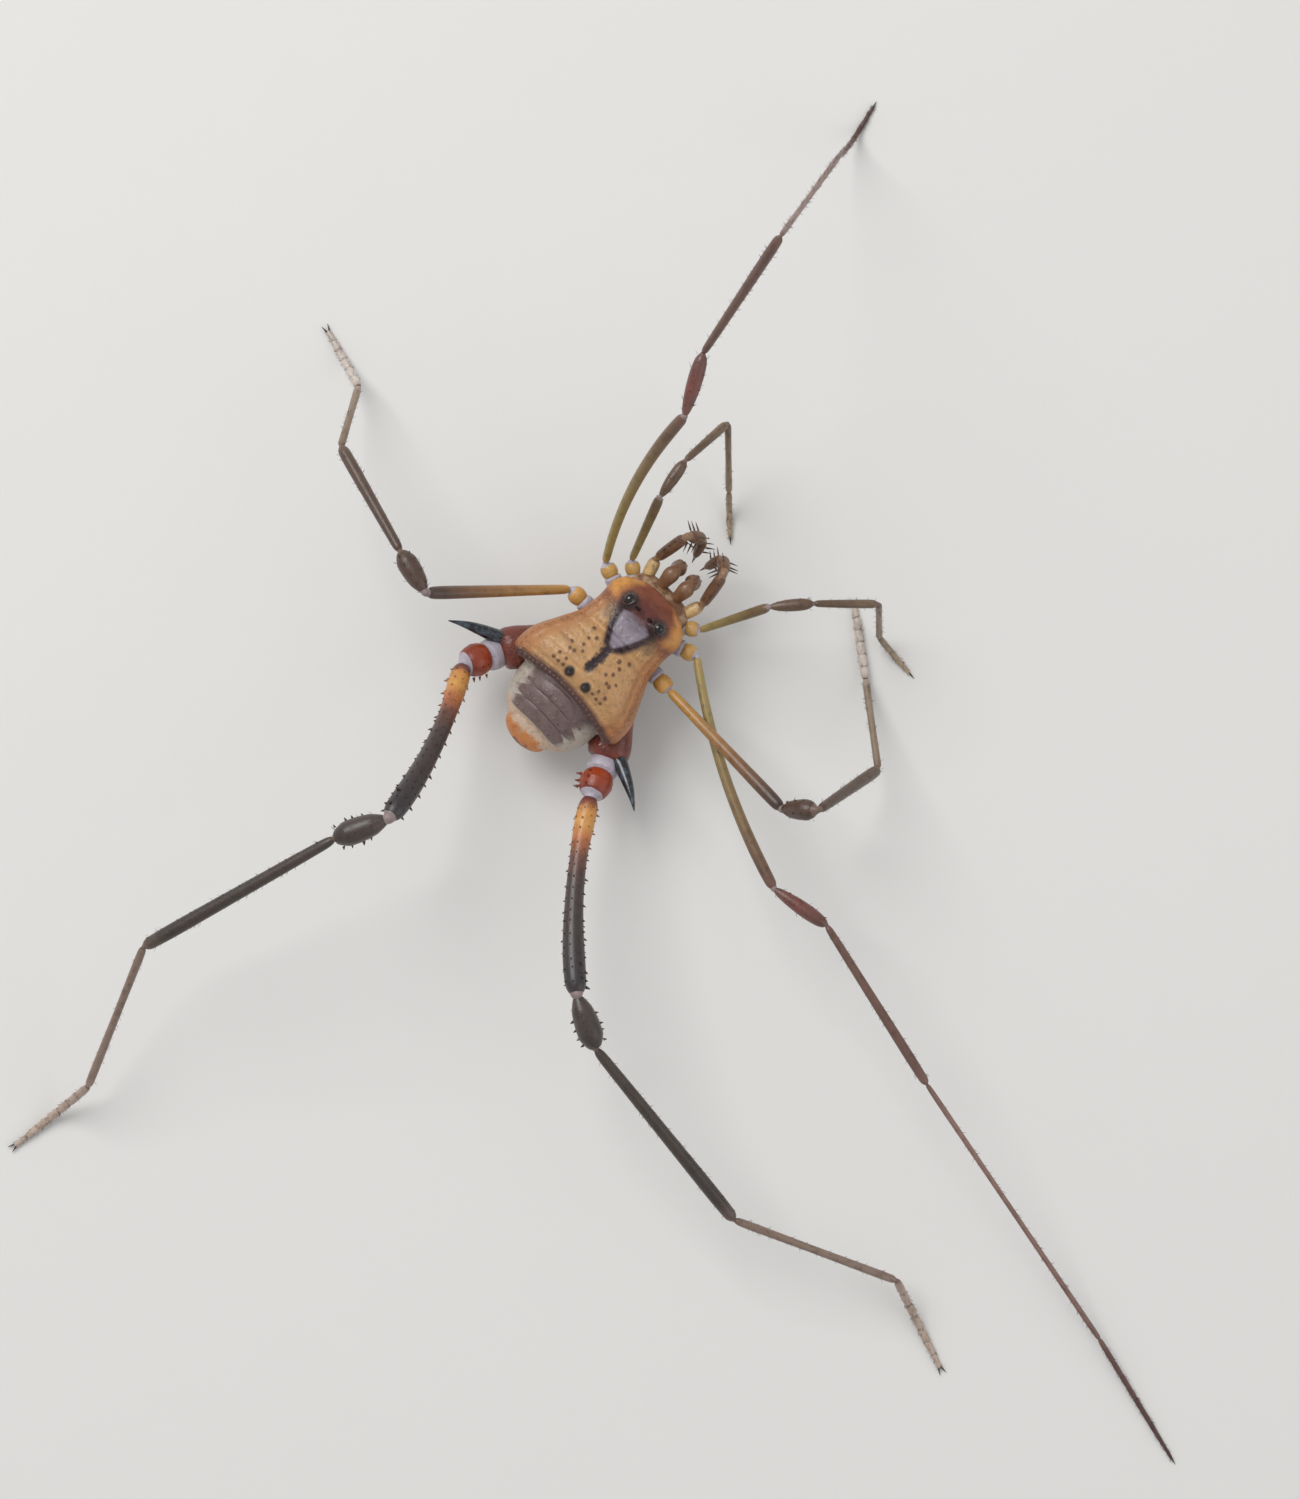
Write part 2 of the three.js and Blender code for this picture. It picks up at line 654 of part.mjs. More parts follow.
// Fourth coxae, swollen and showing beyond the scutum, each with its large black spine
function buildFourthCoxae() {
  for (const [word, side] of [['left', -1], ['right', 1]]) {
    const points = [...FOURTH_COXA, HIPS[4]].map((point) => mirrored(point, side));
    const form = { width: 1.95, form: [0.4, 0.52, 0.69, 0.96, 0.86], flatness: 0.8 };
    const coxa = chainPiece(points, 0, { ...form, sides: 12 });
    const length = points[1].distanceTo(points[0]);
    const row = { from: 0.35, to: 0.8, count: 4, height: 0.14, base: 0.14 };
    const bumps = [55, 85].flatMap((angle, i) => (
      thornRow({ ...form, ...row, length, angle: side * angle, seed: 3 + i })
    ));
    const inverse = coxa.frame.clone().invert();
    const spine = horn({
      root: mirrored(SPINE_ROOT, side).sub(coxa.place).applyQuaternion(inverse),
      way: direction(side * 111, 22).applyQuaternion(inverse),
      hook: direction(side * 180, -10).multiplyScalar(0.1).applyQuaternion(inverse),
      length: SPINE_LENGTH,
      radii: [0.4, 0.34, 0.3, 0.24, 0.15, 0.04],
      sides: 9,
    });
    const mesh = addMesh(`coxa_4_${word}`, join([coxa.geometry, spine, ...bumps]), COLOURS.coxa);
    mesh.quaternion.copy(coxa.frame);
    mesh.position.copy(coxa.place);

    const build = { width: LEG_WIDTHS[4].trochanter, form: [0.88, 1, 0.92, 0.75] };
    const trochanter = chainPiece(points, 1, { ...build, sides: 10 });
    const knobs = thornRow({
      ...build,
      length: points[2].distanceTo(points[1]),
      from: 0.4,
      to: 0.7,
      count: 2,
      angle: side * 100,
      height: 0.2,
      base: 0.14,
      seed: 5,
    });
    const whole = join([trochanter.geometry, ...knobs]);
    const next = addMesh(`leg_4_${word}_trochanter`, whole, COLOURS.trochanter);
    next.quaternion.copy(trochanter.frame);
    next.position.copy(trochanter.place);
  }
}

// Legs

// A tarsus of short ring-like joints that comes down and runs out flat along the floor, with its claws
function tarsusGeometry({ length, width, drop, startPlane, joints, claws }) {
  const sides = 8;
  const steps = joints * 2;
  const lowSide = Math.cos(Math.PI / sides);
  const reach = Math.sqrt(length ** 2 - drop ** 2) * 0.97;
  const radiusAt = (i) => {
    const waist = i % 2 === 0 && i > 0 && i < steps ? 0.82 : 1;
    return (width / 2) * waist * between([0.96, 1, 0.92, 0.56], i / steps);
  };
  const centreAt = (i) => {
    const share = i / steps;
    const rest = radiusAt(i) * lowSide - drop;
    const steep = 1 - Math.min(1, share / TARSUS_FLAT_FROM);
    return new THREE.Vector3(0, share * reach, rest * (1 - steep ** 2));
  };
  const rings = Array.from({ length: steps + 1 }, (_, i) => ring(centreAt(i), radiusAt(i), sides));
  for (const point of rings[0]) {
    point.y += (JOINT_GAP / 2 - startPlane.dot(point)) / startPlane.y;
  }
  const tip = centreAt(steps);
  const spread = claws > 1 ? [-1, 1] : [0];
  const hooks = spread.map((way) => thorn(
    new THREE.Vector3(way * 0.05, tip.y - 0.1, tip.z),
    new THREE.Vector3(way * 0.15, tip.y + CLAW_LENGTH, 0.04),
    0.09,
  ));
  return join([loft(rings), ...hooks]);
}

// The round trochanter of a front leg, in line with its coxa, seen from the frame of its femur
function trochanterGeometry(pair, side, frame) {
  const way = mirrored(HIPS[pair], side).sub(coxaRoot(pair, side));
  const length = TROCHANTER_REACH * 1.75;
  const geometry = limb({ length, width: LEG_WIDTHS[pair].trochanter, form: [0.78, 1, 1, 0.6], gap: 0 });
  geometry.translate(0, -TROCHANTER_REACH, 0);
  geometry.applyQuaternion(aim(headingOf(way), riseOf(way)));
  return geometry.applyQuaternion(frame.clone().invert());
}

// Rows of small thorns on the strong hind legs, as rows of count, angle, height and base
function legThorns(part, side, form) {
  const rows = {
    femur: [[8, 125, 0.16, 0.13], [7, -125, 0.2, 0.14], [2, -40, 0.16, 0.13]],
    patella: [[2, 100, 0.12, 0.12]],
    tibia: [[6, 150, 0.14, 0.11], [6, -150, 0.14, 0.11]],
    metatarsus: [],
  };
  return rows[part].flatMap(([count, angle, height, base], i) => thornRow({
    ...form,
    count,
    angle: side * angle,
    height,
    base,
    from: count > 2 ? 0.15 : 0.86,
    to: 0.93,
    seed: 11 + i,
  }));
}

function buildLeg(pair, word) {
  const side = word === 'left' ? -1 : 1;
  const lengths = LEG_LENGTHS[pair];
  const widths = LEG_WIDTHS[pair];
  const stance = STANCE[`leg_${pair}_${word}`];
  const hip = mirrored(HIPS[pair], side);
  const leg = new THREE.Group();
  leg.position.copy(hip);
  animal.add(leg);

  const parts = ['femur', 'patella', 'tibia', 'metatarsus'];
  const ways = parts.map((part) => direction(side * stance[part][0], stance[part][1]));
  ways.push(direction(side * stance.tarsus, 0));
  const joint = new THREE.Vector3();
  parts.forEach((part, i) => {
    const frame = aim(side * stance[part][0], stance[part][1]);
    const before = i > 0 ? ways[i - 1] : ways[i];
    const form = {
      length: lengths[part],
      width: widths[part],
      form: FORMS[part],
      bow: part === 'femur' ? side * FEMUR_BOW[pair] : 0,
    };
    let geometry = limb({
      ...form,
      sides: pair === 4 && part !== 'metatarsus' ? 10 : 8,
      startPlane: sharedPlane(before, ways[i], frame),
      endPlane: sharedPlane(ways[i], ways[i + 1], frame),
    });
    if (part === 'femur' && pair < 4) {
      geometry = join([geometry, trochanterGeometry(pair, side, frame)]);
    }
    if (pair === 4) {
      geometry = join([geometry, ...legThorns(part, side, form)]);
    }
    const mesh = addMesh(`leg_${pair}_${word}_${part}`, geometry, COLOURS[part], leg);
    mesh.quaternion.copy(frame);
    mesh.position.copy(joint);
    joint.addScaledVector(ways[i], lengths[part]);
  });

  const frame = aim(side * stance.tarsus, 0);
  const geometry = tarsusGeometry({
    length: lengths.tarsus,
    width: widths.tarsus,
    drop: joint.z + hip.z,
    startPlane: sharedPlane(ways[3], ways[4], frame),
    joints: TARSUS_JOINTS[pair],
    claws: pair > 2 ? 2 : 1,
  });
  const mesh = addMesh(`leg_${pair}_${word}_tarsus`, geometry, COLOURS.tarsus, leg);
  mesh.quaternion.copy(frame);
  mesh.position.copy(joint);
}

buildScutum();
buildEyes();
buildVenter();
buildFreeTergites();
buildAnalOperculum();
buildChelicerae();
buildPedipalps();
buildFourthCoxae();
for (const pair of [1, 2, 3, 4]) {
  for (const word of ['left', 'right']) {
    buildLeg(pair, word);
  }
}

// The origin is under the middle of the whole animal, on the floor
const extent = new THREE.Box3().setFromObject(animal, true);
const middle = extent.getCenter(new THREE.Vector3());
animal.position.set(-middle.x, -middle.y, -extent.min.z);

const harvestman = new THREE.Group();
harvestman.add(animal);

export default harvestman;
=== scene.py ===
"""Armoured harvestman, life size: its finer shapes, the finish of every surface and the studio."""

import math
import random

import bpy
from bpy.props import FloatProperty, FloatVectorProperty, IntProperty, PointerProperty
from mathutils import Matrix, Vector, kdtree


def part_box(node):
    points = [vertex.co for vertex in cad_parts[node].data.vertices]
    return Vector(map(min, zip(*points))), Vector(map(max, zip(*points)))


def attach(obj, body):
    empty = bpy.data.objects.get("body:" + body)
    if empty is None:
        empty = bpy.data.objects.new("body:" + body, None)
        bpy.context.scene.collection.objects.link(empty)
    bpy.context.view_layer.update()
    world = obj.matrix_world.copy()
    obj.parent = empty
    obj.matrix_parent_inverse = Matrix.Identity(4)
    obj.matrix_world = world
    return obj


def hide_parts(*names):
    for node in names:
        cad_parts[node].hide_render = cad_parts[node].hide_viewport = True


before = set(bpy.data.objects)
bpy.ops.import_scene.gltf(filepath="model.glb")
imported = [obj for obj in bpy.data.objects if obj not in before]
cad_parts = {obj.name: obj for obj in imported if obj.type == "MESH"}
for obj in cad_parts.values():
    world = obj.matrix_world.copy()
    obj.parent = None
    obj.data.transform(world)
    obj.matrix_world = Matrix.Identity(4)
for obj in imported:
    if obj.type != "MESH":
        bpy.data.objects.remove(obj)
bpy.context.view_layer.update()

bl_info = {
    "name": "Harvestman",
    "version": (1, 0, 0),
    "blender": (4, 5, 0),
    "location": "3D View > Sidebar > Harvestman",
    "description": "Builds an armoured harvestman around its packed solids",
    "category": "Add Mesh",
}

# Shapes are made in millimetres in the animal's own frame, X to its right and Y ahead,
# and are then brought to metres in the frame of the solids.
MM = 0.001
UPWARDS = Vector((0, 0, 1))
# Middle of the right eye, by which the two frames are brought together
EYE = (0.92, 4.98, 5.52)
EYES_AT = Vector((0, *EYE[1:]))


def node_centre(name):
    """Middle of a solid's box, in metres."""
    low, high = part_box(name)
    return (low + high) / 2


ORIGIN = (node_centre("eye_left") + node_centre("eye_right")) / 2 - EYES_AT * MM

SIDES = (("left", -1), ("right", 1))
SEGMENTS = ("trochanter", "femur", "patella", "tibia", "metatarsus", "tarsus")
TARSUS = SEGMENTS.index("tarsus")

# Lengths and greatest thicknesses of the segments of each pair of legs, from trochanter to tarsus
LEG_LENGTHS = {
    1: (0.9, 4.3, 2.0, 3.1, 4.6, 2.4),
    2: (0.95, 11.3, 2.9, 8.6, 15.3, 6.8),
    3: (1.05, 8.0, 2.2, 6.2, 4.8, 3.6),
    4: (1.905, 9.4, 2.6, 10.4, 8.3, 5.4),
}
LEG_WIDTHS = {
    1: (0.78, 0.5, 0.62, 0.44, 0.34, 0.32),
    2: (0.86, 0.58, 0.74, 0.48, 0.28, 0.28),
    3: (0.92, 0.64, 1.04, 0.6, 0.38, 0.42),
    4: (1.68, 1.1, 1.26, 0.68, 0.42, 0.42),
}
# Outer ends of the trochanters and of the fourth coxa, on the right side
HIPS = {
    1: (2.25, 6.35, 3.2),
    2: (3.0, 5.4, 3.2),
    3: (3.25, 3.4, 3.2),
    4: (4.2, -2.55, 3.6),
}
FOURTH_COXA_END = (3.56, -1.06, 2.6)
# How many short joints each tarsus has
TARSUS_JOINTS = {1: 5, 2: 10, 3: 6, 4: 7}
# Length of the bare soft skin at the root of each leg
SOFT_ROOTS = {1: 0.27, 2: 0.28, 3: 0.32, 4: 0.66}
# Sideways bow of each femur, as a share of its length
FEMUR_BOW = {1: 0, 2: 0.045, 3: 0, 4: 0.045}

# Heading outwards and rise of each segment in degrees, from femur to metatarsus, then the
# heading of the tarsus, which comes down to the floor
STANCE = {
    (1, "left"): ((20, 46), (11, 0), (-1, -30), (-132, -50), -132),
    (1, "right"): ((27, 41), (40, 0), (44, -15), (123, -72), 93),
    (2, "left"): ((15, 52), (29, 16), (9, 52), (16, -66), 15),
    (2, "right"): ((116, 8), (79, 5), (102, -3), (100, -15), 103),
    (3, "left"): ((139, 37), (77, -5), (76, -24), (36, -50), 75),
    (3, "right"): ((91, 22), (45, 44), (13, -56), (-52, -28), -54),
    (4, "left"): ((202, 36), (156, -8), (165, -14), (201, -28), 174),
    (4, "right"): ((138, 17), (115, -7), (96, -12), (66, -12), 108),
}

# Thickness along each kind of segment: share of its length, share of its greatest thickness
FORMS = {
    "trochanter": ((0, 0.86), (0.3, 0.92), (0.5, 1.0), (0.75, 0.98), (0.9, 0.86), (1, 0.7)),
    "hind_trochanter": (
        (0, 0.7), (0.36, 0.88), (0.48, 0.98), (0.6, 1.0), (0.8, 0.93), (0.94, 0.8), (1, 0.7),
    ),
    "femur": ((0, 0.66), (0.04, 0.72), (0.25, 0.8), (0.6, 0.92), (0.88, 1.0), (0.97, 0.92), (1, 0.8)),
    "hind_femur": (
        (0, 0.74), (0.04, 0.86), (0.12, 0.93), (0.3, 0.76), (0.5, 0.8), (0.85, 1.0),
        (0.97, 0.92), (1, 0.8),
    ),
    "patella": ((0, 0.46), (0.08, 0.58), (0.3, 0.84), (0.55, 1.0), (0.75, 0.96), (0.9, 0.8), (1, 0.62)),
    "tibia": ((0, 0.6), (0.05, 0.76), (0.3, 0.86), (0.85, 1.0), (0.97, 0.92), (1, 0.78)),
    "metatarsus": ((0, 0.8), (0.05, 0.98), (0.45, 0.88), (0.95, 1.0), (1, 0.86)),
    "palp": ((0, 0.7), (0.1, 0.86), (0.5, 1.0), (0.85, 0.96), (1, 0.78)),
    "palp_tarsus": ((0, 0.74), (0.15, 0.95), (0.4, 1.0), (0.75, 0.8), (1, 0.4)),
}


# Small helpers


def srgb(red, green, blue):
    """A colour as seen, in parts of 255, as the linear numbers that materials use."""
    return tuple(
        (v / 12.92 if v <= 0.04045 else ((v + 0.055) / 1.055) ** 2.4)
        for v in (red / 255, green / 255, blue / 255)
    )


def between(pairs, at):
    """Value at a place on a curve through (place, value) pairs, eased between them."""
    if at <= pairs[0][0]:
        return pairs[0][1]
    for (low, first), (high, last) in zip(pairs, pairs[1:]):
        if at <= high:
            share = (at - low) / (high - low)
            eased = (share + share * share * (3 - 2 * share)) / 2
            return first + (last - first) * eased
    return pairs[-1][1]


def direction(heading, rise):
    """Unit vector for a heading clockwise from straight ahead and a rise, both in degrees."""
    level = math.cos(math.radians(rise))
    turned = math.radians(heading)
    return Vector((math.sin(turned) * level, math.cos(turned) * level, math.sin(math.radians(rise))))


def mirrored(point, side):
    """A point of the right side, on the side that is asked for."""
    return Vector((point[0] * side, point[1], point[2]))


def outward(way, angle):
    """Direction square to a way, at an angle in degrees from its upper side towards its right."""
    right = way.cross(UPWARDS).normalized()
    up = right.cross(way).normalized()
    return up * math.cos(math.radians(angle)) + right * math.sin(math.radians(angle))


# Modelling by operators

# Size on a leg's baked picture of the patch of one bristle
PATCH_RADIUS = 0.0015


def clear_selection():
    """Leaves edit mode and deselects everything, so that the next operator acts on new work only."""
    if bpy.context.object and bpy.context.object.mode != "OBJECT":
        bpy.ops.object.mode_set(mode="OBJECT")
    bpy.ops.object.select_all(action="DESELECT")


def pick(obj):
    """Makes a piece the only one that is selected, and the active one."""
    clear_selection()
    obj.select_set(True)
    bpy.context.view_layer.objects.active = obj


def edit_all():
    """Opens the active piece for editing, with all of it selected."""
    bpy.ops.object.mode_set(mode="EDIT")
    bpy.ops.mesh.select_all(action="SELECT")


def apply_place():
    """Works the place, turn and size of the selected piece into its mesh."""
    bpy.ops.object.transform_apply(location=True, rotation=True, scale=True)


def apply_modifier(obj, kind, **settings):
    """Gives the active piece a modifier and applies it."""
    modifier = obj.modifiers.new(kind.title(), kind)
    for key, setting in settings.items():
        setattr(modifier, key, setting)
    bpy.ops.object.modifier_apply(modifier=modifier.name)


def disc(name, sides, radius=1, **place):
    """A flat disc, from which a shape is then extruded."""
    clear_selection()
    bpy.ops.mesh.primitive_circle_add(vertices=sides, radius=radius, fill_type="NGON", **place)
    obj = bpy.context.object
    obj.name = obj.data.name = name
    apply_place()
    return obj


def turn(before, after, centre):
    """Turns the selection from one direction to another about a point."""
    angles = before.rotation_difference(after).to_euler("XYZ")
    for axis, angle in zip("XYZ", angles):
        if abs(angle) > 1e-4:
            bpy.ops.transform.rotate(
                value=-angle, orient_axis=axis, orient_type="GLOBAL", center_override=centre
            )


def extrude_by(step):
    bpy.ops.mesh.extrude_region_move(
        TRANSFORM_OT_translate={"value": step, "orient_type": "GLOBAL"}
    )


def close_shape(obj):
    """Faces all outwards, then back to object mode."""
    bpy.ops.mesh.select_all(action="SELECT")
    bpy.ops.mesh.normals_make_consistent(inside=False)
    bpy.ops.object.mode_set(mode="OBJECT")
    return obj


def add_mark(obj, name, values):
    """Stores one number for each point, for a material to read."""
    attribute = obj.data.attributes.new(name, "FLOAT", "POINT")
    attribute.data.foreach_set("value", values)


def limb(name, rings, sides=12, marks=()):
    """A round limb: a disc extruded from ring to ring, resized and turned at each one."""
    first = rings[0]
    turned = first["way"].to_track_quat("Z", "Y").to_euler()
    obj = disc(name, sides, first["radius"], location=first["centre"], rotation=turned)
    edit_all()
    for before, after in zip(rings, rings[1:]):
        extrude_by(after["centre"] - before["centre"])
        scale = after["radius"] / before["radius"]
        bpy.ops.transform.resize(value=(scale,) * 3, center_override=after["centre"])
        turn(before["way"], after["way"], after["centre"])
    close_shape(obj)
    for mark in marks:
        add_mark(obj, mark, [place[mark] for place in rings for _ in range(sides)])
    return obj


def plate(name, stations, axis, sides, boxiness=(1, 1), lower=1):
    """A shell: a rounded section extruded along X or Y, moved and resized at each station.

    A station is (centre, half width, half height). The lower half of the section is
    flattened to a share of the upper half.
    """
    along_y = axis == "Y"
    rotation = (math.pi / 2, 0, 0) if along_y else (0, math.pi / 2, 0)
    obj = disc(name, sides, rotation=rotation)
    across = 0 if along_y else 1
    for vertex in obj.data.vertices:
        wide = vertex.co[across]
        high = vertex.co.z
        vertex.co[across] = math.copysign(abs(wide) ** boxiness[0], wide)
        vertex.co.z = math.copysign(abs(high) ** boxiness[1], high) * (1 if high > 0 else lower)

    def resize(wide, high, centre):
        sizes = (wide, 1, high) if along_y else (1, wide, high)
        bpy.ops.transform.resize(value=sizes, center_override=centre)

    edit_all()
    centre, half, rise = stations[0]
    bpy.ops.transform.translate(value=centre)
    resize(half, rise, centre)
    for (start, wide, high), (end, next_wide, next_high) in zip(stations, stations[1:]):
        extrude_by(end - start)
        resize(next_wide / wide, next_high / high, end)
    return close_shape(obj)


def smooth(obj, levels):
    """Subdivides a piece."""
    pick(obj)
    apply_modifier(obj, "SUBSURF", levels=levels, render_levels=levels)


def softened_copy(node, name, voxel, passes):
    """A finer, rounded skin over the shape of a solid."""
    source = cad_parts[node]
    obj = source.copy()
    obj.data = source.data.copy()
    obj.name = obj.data.name = name
    obj.parent = None
    for key in list(obj.keys()):
        del obj[key]
    bpy.context.scene.collection.objects.link(obj)
    pick(obj)
    obj.matrix_world = Matrix.Diagonal((1 / MM,) * 3 + (1,)) @ Matrix.Translation(-ORIGIN)
    apply_place()
    edit_all()
    bpy.ops.mesh.remove_doubles(threshold=0.001)
    bpy.ops.object.mode_set(mode="OBJECT")
    apply_modifier(obj, "REMESH", mode="VOXEL", voxel_size=voxel)
    apply_modifier(obj, "SMOOTH", factor=0.5, iterations=passes)
    return obj


def shape_points(obj, shift):
    """Moves each point by what shift says for its place and normal."""
    moves = [shift(vertex.co, vertex.normal) for vertex in obj.data.vertices]
    for vertex, move in zip(obj.data.vertices, moves):
        vertex.co += move


def struck(obj, start, way):
    """Where a line from a start first meets a piece, or None."""
    hit, place, _, _ = obj.ray_cast(start, way)
    return place if hit else None


def raise_grains(obj, grains):
    """Raises round grains, given as (place, radius, height, tint), and marks their tint."""
    tree = kdtree.KDTree(len(grains))
    for i, (place, *_) in enumerate(grains):
        tree.insert(place, i)
    tree.balance()
    widest = max(radius for _, radius, _, _ in grains)
    marks = []
    moves = []
    for vertex in obj.data.vertices:
        lift = 0.0
        mark = 0.0
        for _, i, distance in tree.find_range(vertex.co, widest):
            _, radius, height, tint = grains[i]
            if distance < radius:
                share = 1 - (distance / radius) ** 2
                lift = max(lift, height * share ** 1.5)
                mark = max(mark, share * tint)
        moves.append(vertex.normal * lift)
        marks.append(mark)
    for vertex, move in zip(obj.data.vertices, moves):
        vertex.co += move
    add_mark(obj, "grain", marks)


# Steps in which a thorn grows: height of each, and by how much it narrows there
THORN_STEPS = ((0.35, 0.78), (0.35, 0.62), (0.3, 0.12))


def thorn_stock(name, bend, sides=6):
    """One pointed thorn of unit size along +Z, leaning over towards +Y, to be copied."""
    stock = disc(name, sides)
    edit_all()
    height = 0
    for lift, scale in THORN_STEPS:
        extrude_by((0, bend * lift * (1 + height), lift))
        height += lift
        bpy.ops.transform.resize(value=(scale, scale, 1))
    return close_shape(stock)


def lay_out_bristle(bristle, centre):
    """Gives a bristle its patch of the baked picture, at its root's place on the unwrapped leg."""
    layer = bristle.data.uv_layers.new(name="OFBake")
    for loop, spot in zip(bristle.data.loops, layer.data):
        point = bristle.data.vertices[loop.vertex_index].co
        spot.uv = [middle + PATCH_RADIUS * at for middle, at in zip(centre, point)]


def plant(name, stock, places, reaches=None, patches=None):
    """Copies a stock shape to many places and joins the copies.

    A place is (root, way, lean, base radius, height): the copy stands along way and leans
    over towards lean. Where reaches are given, each copy is marked as a thorn of that reach.
    Where patches are given, they are the places of the copies on the unwrapped leg.
    """
    clear_selection()
    for i, (root, way, lean, radius, height) in enumerate(places):
        up = way.normalized()
        forward = (lean - up * lean.dot(up)).normalized()
        turned = Matrix((forward.cross(up), forward, up)).transposed().to_4x4()
        copy = stock.copy()
        copy.data = stock.data.copy()
        if reaches:
            count = len(copy.data.vertices)
            add_mark(copy, "reach", [reaches[i]] * count)
            add_mark(copy, "thorn", [min(1, max(0, v.co.z)) ** 0.5 for v in copy.data.vertices])
        if patches:
            lay_out_bristle(copy, patches[i])
        bpy.context.scene.collection.objects.link(copy)
        copy.matrix_world = (
            Matrix.Translation(root) @ turned @ Matrix.Diagonal((radius, radius, height, 1))
        )
        copy.select_set(True)
        bpy.context.view_layer.objects.active = copy
    bpy.ops.object.join()
    made = bpy.context.object
    made.name = made.data.name = name
    apply_place()
    return made


def merge(obj, others):
    """Joins other pieces into one."""
    pick(obj)
    for other in others:
        other.select_set(True)
    bpy.ops.object.join()
    return obj


def discard(*stocks):
    """Removes shapes that were only there to be copied."""
    for stock in stocks:
        bpy.data.objects.remove(stock, do_unlink=True)


def settle(obj, material, nodes=()):
    pick(obj)
    obj.scale = (MM,) * 3
    obj.location = ORIGIN
    apply_place()
    bpy.ops.object.shade_smooth()
    obj.data.materials.clear()
    obj.data.materials.append(material)
    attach(obj, "root")
    if nodes:
        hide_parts(*nodes)


# Shader maths

# What the dark and the light patches of an uneven colour multiply it by
DARK_PATCHES = (0.5, 0.44, 0.4)
LIGHT_PATCHES = (1.35, 1.3, 1.2)


class Value:
    """A socket of a finish, on which Python's operators add Math nodes."""

    def __init__(self, finish, socket):
        self.finish = finish
        self.socket = socket

    def math(self, operation, *others):
        inputs = dict(enumerate((self, *others)))
        return self.finish.node("ShaderNodeMath", {"operation": operation}, inputs)

    def __add__(self, other):
        return self.math("ADD", other)

    __radd__ = __add__

    def __mul__(self, other):
        return self.math("MULTIPLY", other)

    __rmul__ = __mul__

    def __sub__(self, other):
        return self.math("SUBTRACT", other)

    def __rsub__(self, other):
        inputs = {0: other, 1: self}
        return self.finish.node("ShaderNodeMath", {"operation": "SUBTRACT"}, inputs)

    def __truediv__(self, other):
        return self.math("DIVIDE", other)

    def __pow__(self, other):
        return self.math("POWER", other)

    def __abs__(self):
        return self.math("ABSOLUTE")

    def at_least(self, other):
        return self.math("MAXIMUM", other)

    def at_most(self, other):
        return self.math("MINIMUM", other)

    def ramp(self, low, high):
        """Rises smoothly from 0 to 1 between two values, or falls where low is the greater."""
        inputs = {"Value": self, "From Min": low, "From Max": high}
        return self.finish.node("ShaderNodeMapRange", {"interpolation_type": "SMOOTHSTEP"}, inputs)


